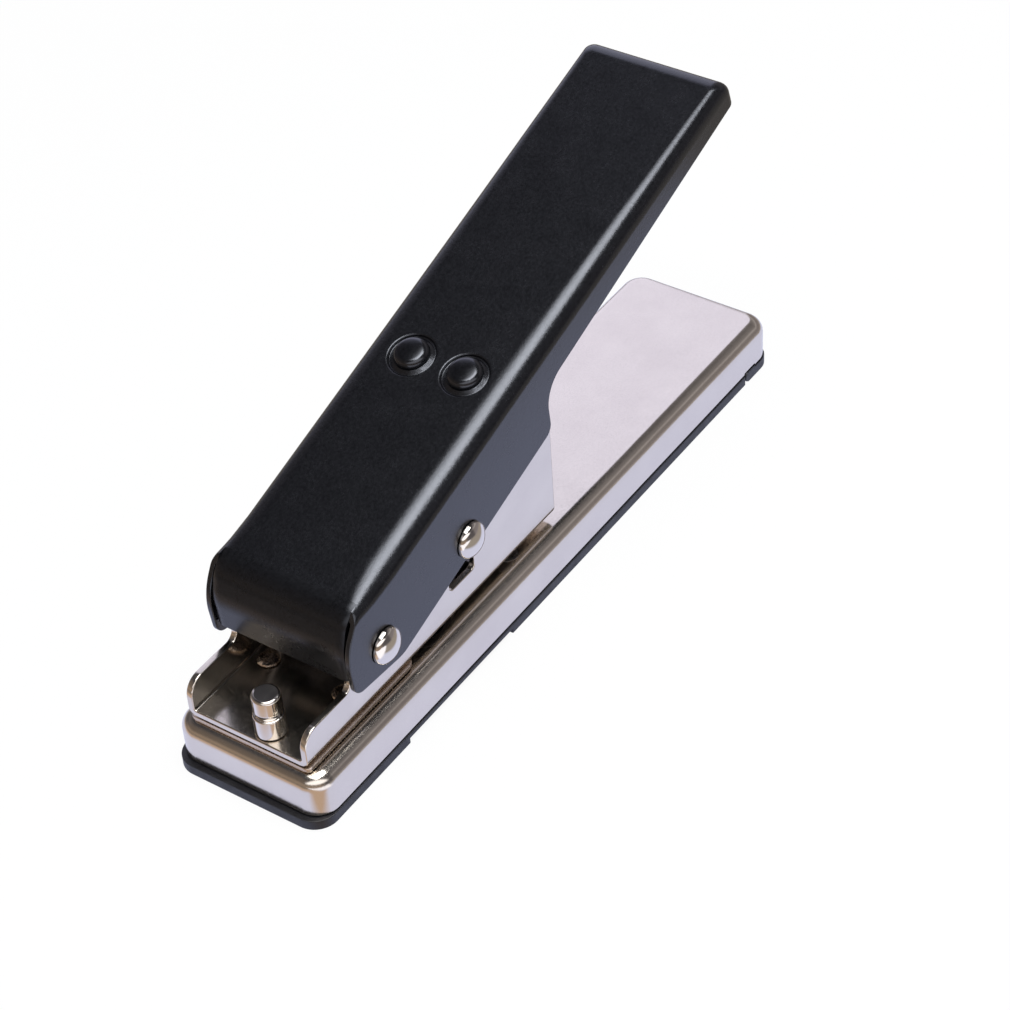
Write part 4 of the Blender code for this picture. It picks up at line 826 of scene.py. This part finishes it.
def build_tray():
    start = TRAY[0].x
    barrel_y = 15.7 * MM
    neck_y = barrel_y - 0.3 * MM
    rim = rounded([
        (start, -LIP_Y, BASE_CORNER), (TRAY_END, -LIP_Y, 0), (TRAY_END, -neck_y, 0), (HINGE.x, -neck_y, 0),
        (HINGE.x, neck_y, 0), (TRAY_END, neck_y, 0), (TRAY_END, LIP_Y, 0), (start, LIP_Y, BASE_CORNER)])
    tray = plate("pick_tray", [rim], 0, RIM_HEIGHT)
    wall_start, wall_end = HOUSING[0].x + WALL_GAP, TRAY_END - 1.6 * MM
    wall = rectangle(wall_start, wall_end, -WALL_Y, WALL_Y, (WALL_CORNER, 0, 0, WALL_CORNER))
    cut(tray, [plate("wall", [wall], TRAY_SHEET, WALL_TOP)], "UNION")
    cut(tray, [rod(BARREL, HINGE_AT, barrel_y, along_y=True)], "UNION")
    pocket = rectangle(
        wall_start + TRAY_SHEET, wall_end - TRAY_SHEET, TRAY_SHEET - WALL_Y, WALL_Y - TRAY_SHEET,
        [WALL_CORNER - TRAY_SHEET] * 4)
    cutters = [plate("pocket", [pocket], TRAY_SHEET, 10 * MM)]
    recess_start, recess_end, recess_depth, recess_height = 29.6 * MM, 66.1 * MM, 3 * MM, 1.1 * MM
    over = 4 * MM
    for side in (-1, 1):
        y0, y1 = sorted((side * (LIP_Y + over), side * (LIP_Y - recess_depth)))
        recess = rectangle(start + recess_start, start + recess_end, y0, y1, [recess_height] * 4)
        cutters.append(plate("recess", [recess], -over, recess_height))
    cutters.append(rod(HINGE_BORE, HINGE_AT, LIP_Y, along_y=True))
    cut(tray, cutters)
    finish_moulding(tray, "tray", "bottom_tray")


def build_foot():
    """The fixed end piece, with two ears that carry the tray's hinge pin."""
    start = HINGE.x + 1.9 * MM
    rim = rectangle(start, FOOT[1].x, -LIP_Y, LIP_Y, (0, BASE_CORNER, BASE_CORNER, 0))
    foot = plate("end_foot", [rim], 0, RIM_HEIGHT)
    block_end = HOUSING[1].x - WALL_GAP
    block = rectangle(start, block_end, -WALL_Y, WALL_Y, (0, WALL_CORNER, WALL_CORNER, 0))
    cut(foot, [plate("block", [block], TRAY_SHEET, WALL_TOP)], "UNION")
    ear_y, ear_height = 16 * MM, 2.7 * MM
    for side in (-1, 1):
        outline = rectangle(FOOT[0].x, HINGE.x + 2.2 * MM, 0, ear_height, (1.3 * MM, 0, 0, 1.0 * MM))
        half, middle = (LIP_Y - ear_y) / 2, (LIP_Y + ear_y) / 2
        cut(foot, [side_plate("ear", outline, half, side * middle)], "UNION")
    pocket = rectangle(
        HINGE.x + 3.4 * MM, block_end - TRAY_SHEET, TRAY_SHEET - WALL_Y, WALL_Y - TRAY_SHEET,
        [TRAY_SHEET] * 4)
    bore = rod(HINGE_BORE, HINGE_AT, 17.3 * MM, along_y=True)
    cut(foot, [plate("pocket", [pocket], TRAY_SHEET, 10 * MM), bore])
    finish_moulding(foot, "base", "rear_foot")


def build_spring():
    """The double torsion spring: a leg to the floor, a coil round the pivot, a leg to the shared loop."""
    coil, wire, pitch, outer_y = 4.6 * MM, 1.2 * MM, 1.65 * MM, 12.15 * MM
    centre = Vector((PIVOT.x, PIVOT.z))
    foot = Vector((-54.5 * MM, 16.1 * MM))
    loop = HANDLE @ Vector((13.5 * MM, 0, 11.34 * MM))
    loop_y = 3.6 * MM
    to_foot = foot - centre
    to_loop = loop.xz - centre
    start = math.atan2(to_foot.y, to_foot.x) - math.acos(coil / to_foot.length)
    finish = math.atan2(to_loop.y, to_loop.x) + math.acos(coil / to_loop.length)
    whole_turns = 3
    sweep = (start - finish) % (2 * math.pi) + whole_turns * 2 * math.pi
    count = 120
    half = [(foot.x, outer_y, foot.y)]
    for i in range(count + 1):
        angle = start - sweep * i / count
        y = outer_y - pitch * sweep * i / count / (2 * math.pi)
        half.append((centre.x + coil * math.cos(angle), y, centre.y + coil * math.sin(angle)))
    half.append((loop.x, loop_y, loop.z))
    curve = bpy.data.curves.new("torsion_spring", "CURVE")
    curve.dimensions = "3D"
    curve.bevel_depth = wire / 2
    curve.bevel_resolution = 4
    curve.use_fill_caps = True
    add_points(curve, half + [(x, -y, z) for x, y, z in reversed(half)])
    shape = linked("spring_shape", curve)
    spring = linked("torsion_spring", evaluated_mesh(shape))
    remove(shape)
    spring.data.materials.clear()
    spring.data.materials.append(SPRING)
    smooth(spring, 60)
    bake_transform(spring)
    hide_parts("return_spring")


def dress_nodes():
    """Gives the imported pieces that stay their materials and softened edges."""
    finishes = {
        "die_plate": STEEL, "rear_guide_block": STEEL, "front_guide_block": STEEL, "punch_block": STEEL,
        # Lever channel and pivot sleeve take the darkened steel: painted shade inside the handle
        "lever_channel": SHADE_DARK_STEEL, "pivot_sleeve": SHADE_DARK_STEEL, "tray_hinge_pin": STEEL,
    }
    # The bracket rivets' warm tan is painted tan and copper reflection
    finishes.update({name: WARM for name in BRACKET_RIVETS})
    finishes.update({name: STEEL for name in DIE_RIVETS + GUIDE_RIVETS})
    for name, material in finishes.items():
        node = frame["nodes"][name]
        node.data.materials.clear()
        node.data.materials.append(material)
        edge = node.modifiers.new("soft edges", "BEVEL")
        edge.width = 0.12 * MM
        edge.segments = 2
        edge.limit_method = "ANGLE"
        edge.angle_limit = math.radians(40)


# Setting
def painted_table_reflection(tree):
    """Painted reflections of the table for metal: cool and bright round the part, warmer further off."""
    half_length, half_width = 0.086, 0.0185
    cool_near, cool_far = (0.72, 0.76, 1.02), (0.30, 0.26, 0.22)
    warm_near, warm_far = (0.56, 0.39, 0.27), (0.16, 0.12, 0.09)
    bright = (1.3, 1.3, 1.42)
    place = tree.nodes.new("ShaderNodeTexCoord")
    x, y = parts_of(tree, place.outputs["Object"])[:2]
    past_end = maths(tree, "SUBTRACT", maths(tree, "ABSOLUTE", x, 0), half_length)
    past_side = maths(tree, "SUBTRACT", maths(tree, "ABSOLUTE", y, 0), half_width)
    away = ranged(tree, maths(tree, "MAXIMUM", past_end, past_side), 0.042, 0.064, 0, 1)
    cool = blended(tree, away, cool_near, cool_far)
    near_end = maths(tree, "SUBTRACT", maths(tree, "MULTIPLY", x, -1), half_length)
    near_side = maths(tree, "SUBTRACT", maths(tree, "MULTIPLY", y, -1), half_width)
    warm = blended(tree, ranged(tree, near_end, 0.040, 0.060, 0, 1), warm_near, warm_far)
    corner = ranged(tree, maths(tree, "MINIMUM", near_end, near_side), -0.003, 0.001, 0, 1)
    by_corner = maths(tree, "MULTIPLY", corner, ranged(tree, near_side, 0.012, 0.020, 1, 0))
    beyond = ranged(tree, near_end, 0.0095, 0.022, 0, 1)
    glow = blended(tree, maths(tree, "MAXIMUM", by_corner, beyond), cool, warm)
    out_side = ranged(tree, near_side, 0.016, 0.026, 0, 1)
    out_end = ranged(tree, near_end, -0.014, -0.006, 0, 1)
    return blended(tree, maths(tree, "MULTIPLY", out_side, out_end), glow, bright)


def build_floor():
    """A pale table that takes the shadow, white to the camera, painted reflection colours to metal, and
    clear from below.
    """
    half_size, gap = 3, 0.04 * MM
    work = bmesh.new()
    bmesh.ops.create_grid(work, x_segments=4, y_segments=4, size=half_size)
    bmesh.ops.translate(work, verts=work.verts, vec=(0, 0, -gap))
    floor = new_object("floor", work)
    if floor.data.polygons[0].normal.z < 0:
        floor.data.flip_normals()
    material = bpy.data.materials.new("floor")
    material.use_nodes = True
    tree = material.node_tree
    tree.nodes.clear()
    out = tree.nodes.new("ShaderNodeOutputMaterial")
    paths = tree.nodes.new("ShaderNodeLightPath")
    card = tree.nodes.new("ShaderNodeBsdfDiffuse")
    card.inputs["Color"].default_value = (0.9, 0.9, 0.9, 1)
    seen = tree.nodes.new("ShaderNodeEmission")
    glow = tree.nodes.new("ShaderNodeEmission")
    tree.links.new(painted_table_reflection(tree), glow.inputs["Color"])
    side = tree.nodes.new("ShaderNodeNewGeometry")
    clear = tree.nodes.new("ShaderNodeBsdfTransparent")
    to_camera = maths(tree, "MULTIPLY", paths.outputs["Is Camera Ray"], 0.93)
    to_gloss = maths(tree, "MULTIPLY", paths.outputs["Is Glossy Ray"], 0.92)
    surface = mix_shader(tree, to_camera, card.outputs["BSDF"], seen.outputs["Emission"])
    # Glossy rays see the painted table reflection instead of the card
    surface = mix_shader(tree, to_gloss, surface, glow.outputs["Emission"])
    surface = mix_shader(tree, side.outputs["Backfacing"], surface, clear.outputs["BSDF"])
    tree.links.new(surface, out.inputs["Surface"])
    floor.data.materials.append(material)


def painted_room_reflection(tree):
    """Painted reflections, seen by metal alone and lighting nothing: dim walls in bands, paler to one side,
    and two bright painted panels.
    """
    place = tree.nodes.new("ShaderNodeTexCoord")
    x, y, z = parts_of(tree, place.outputs["Generated"])
    height = ranged(tree, z, -1, 1, 0, 1)
    dim = ramp(tree, height, [
        (0.0, (0.32, 0.30, 0.31)), (0.49, (0.28, 0.26, 0.27)), (0.53, (0.12, 0.11, 0.115)),
        (0.68, (0.09, 0.082, 0.088)), (0.745, (0.15, 0.14, 0.145)), (0.85, (0.07, 0.065, 0.07)),
        (0.90, (0.045, 0.043, 0.048))])
    pale = ramp(tree, height, [
        (0.0, (0.40, 0.37, 0.38)), (0.49, (0.36, 0.33, 0.34)), (0.53, (0.25, 0.225, 0.23)),
        (0.68, (0.21, 0.19, 0.195)), (0.72, (0.39, 0.365, 0.37)), (0.745, (0.40, 0.375, 0.38)),
        (0.79, (0.20, 0.185, 0.19)), (0.85, (0.18, 0.165, 0.17)), (0.90, (0.05, 0.047, 0.052))])
    behind = ramp(tree, height, [
        (0.0, (0.34, 0.25, 0.18)), (0.50, (0.34, 0.25, 0.18)), (0.60, (0.32, 0.25, 0.20)),
        (0.68, (0.17, 0.135, 0.11)), (0.84, (0.14, 0.115, 0.10)), (0.90, (0.05, 0.047, 0.052))])
    side = blended(tree, ranged(tree, x, 0.38, 0.54, 0, 1), dim, pale)
    room = blended(tree, ranged(tree, x, -0.15, -0.55, 0, 1), side, behind)
    slant = maths(tree, "SUBTRACT", y, maths(tree, "MULTIPLY", x, 0.45))
    # Painted highlight panel toward the far end, seen only in reflections
    below = ranged(tree, z, 0.88, 0.68, 0, 1)
    painted_panel = maths(tree, "MULTIPLY", ranged(tree, slant, -0.03, 0.03, 0, 1), below)
    painted_panel = maths(tree, "MULTIPLY", ranged(tree, x, 0.30, 0.54, 0, 1), painted_panel)
    room = blended(tree, painted_panel, room, (1.0, 1.0, 1.24))
    # Painted glint panel behind the camera, seen only in reflections
    corner = ranged(tree, maths(tree, "ADD", x, y), -0.72, -0.88, 0, 1)
    front = maths(tree, "MULTIPLY", corner, ranged(tree, z, 0.36, 0.46, 0, 1))
    return blended(tree, front, room, (1.5, 1.47, 1.5))


def build_world():
    """White to the camera, the painted room reflections to metal, and plain light otherwise."""
    world = bpy.data.worlds.new("studio")
    bpy.context.scene.world = world
    world.use_nodes = True
    tree = world.node_tree
    tree.nodes.clear()
    out = tree.nodes.new("ShaderNodeOutputWorld")
    paths = tree.nodes.new("ShaderNodeLightPath")
    plain, metal, seen = (tree.nodes.new("ShaderNodeBackground") for _ in range(3))
    plain.inputs["Color"].default_value = (0.42, 0.43, 0.45, 1)
    tree.links.new(painted_room_reflection(tree), metal.inputs["Color"])
    seen.inputs["Color"].default_value = (1, 1, 1, 1)
    surface = mix_shader(
        tree, paths.outputs["Is Glossy Ray"], plain.outputs["Background"], metal.outputs["Background"])
    surface = mix_shader(tree, paths.outputs["Is Camera Ray"], surface, seen.outputs["Background"])
    tree.links.new(surface, out.inputs["Surface"])


def add_lamp(name, direction, distance, width, height, power):
    """A soft box that fades along its height."""
    light = bpy.data.lights.new(name, "AREA")
    light.shape = "RECTANGLE"
    light.size, light.size_y = width, height
    light.energy = power
    light.use_nodes = True
    tree = light.node_tree
    tree.nodes.clear()
    place = tree.nodes.new("ShaderNodeNewGeometry")
    along_lamp = parts_of(tree, place.outputs["Parametric"])[1]
    glow = tree.nodes.new("ShaderNodeEmission")
    tree.links.new(ranged(tree, along_lamp, 0.35, 0.80, 1, 0), glow.inputs["Strength"])
    out = tree.nodes.new("ShaderNodeOutputLight")
    tree.links.new(glow.outputs["Emission"], out.inputs["Surface"])
    towards = Vector(direction).normalized()
    across = Vector((0, 1, 0)).cross(towards).normalized()
    turn = Matrix((across, towards.cross(across), towards)).transposed().to_4x4()
    linked(name, light).matrix_world = Matrix.Translation(towards * distance) @ turn


def add_camera():
    """The photograph's camera, fitted to the base's straight edges."""
    place = Vector((-0.34723, -0.26488, 0.39168))
    forward = Vector((0.6018, 0.4536, -0.6573)).normalized()
    right = Vector((0.5604, -0.8262, -0.0570))
    right = (right - forward * right.dot(forward)).normalized()
    turn = Matrix((right, right.cross(forward), -forward)).transposed().to_4x4()
    camera = bpy.data.cameras.new("photo")
    camera.sensor_width = 36
    camera.lens = 96.976
    camera.clip_start = 0.01
    holder = linked("photo", camera)
    holder.matrix_world = Matrix.Translation(place) @ turn
    bpy.context.scene.camera = holder


add_camera()
build_world()
build_floor()
add_lamp("key", (-0.04, 0.01, 1), 0.9, 0.66, 0.79, 12.8)
build_housing()
build_spacer()
build_bracket()
build_post()
build_handle_cover()
build_apron()
build_handle_rivets()
build_pins()
build_tray()
build_foot()
build_spring()
dress_nodes()
bpy.context.scene.view_settings.view_transform = "Standard"
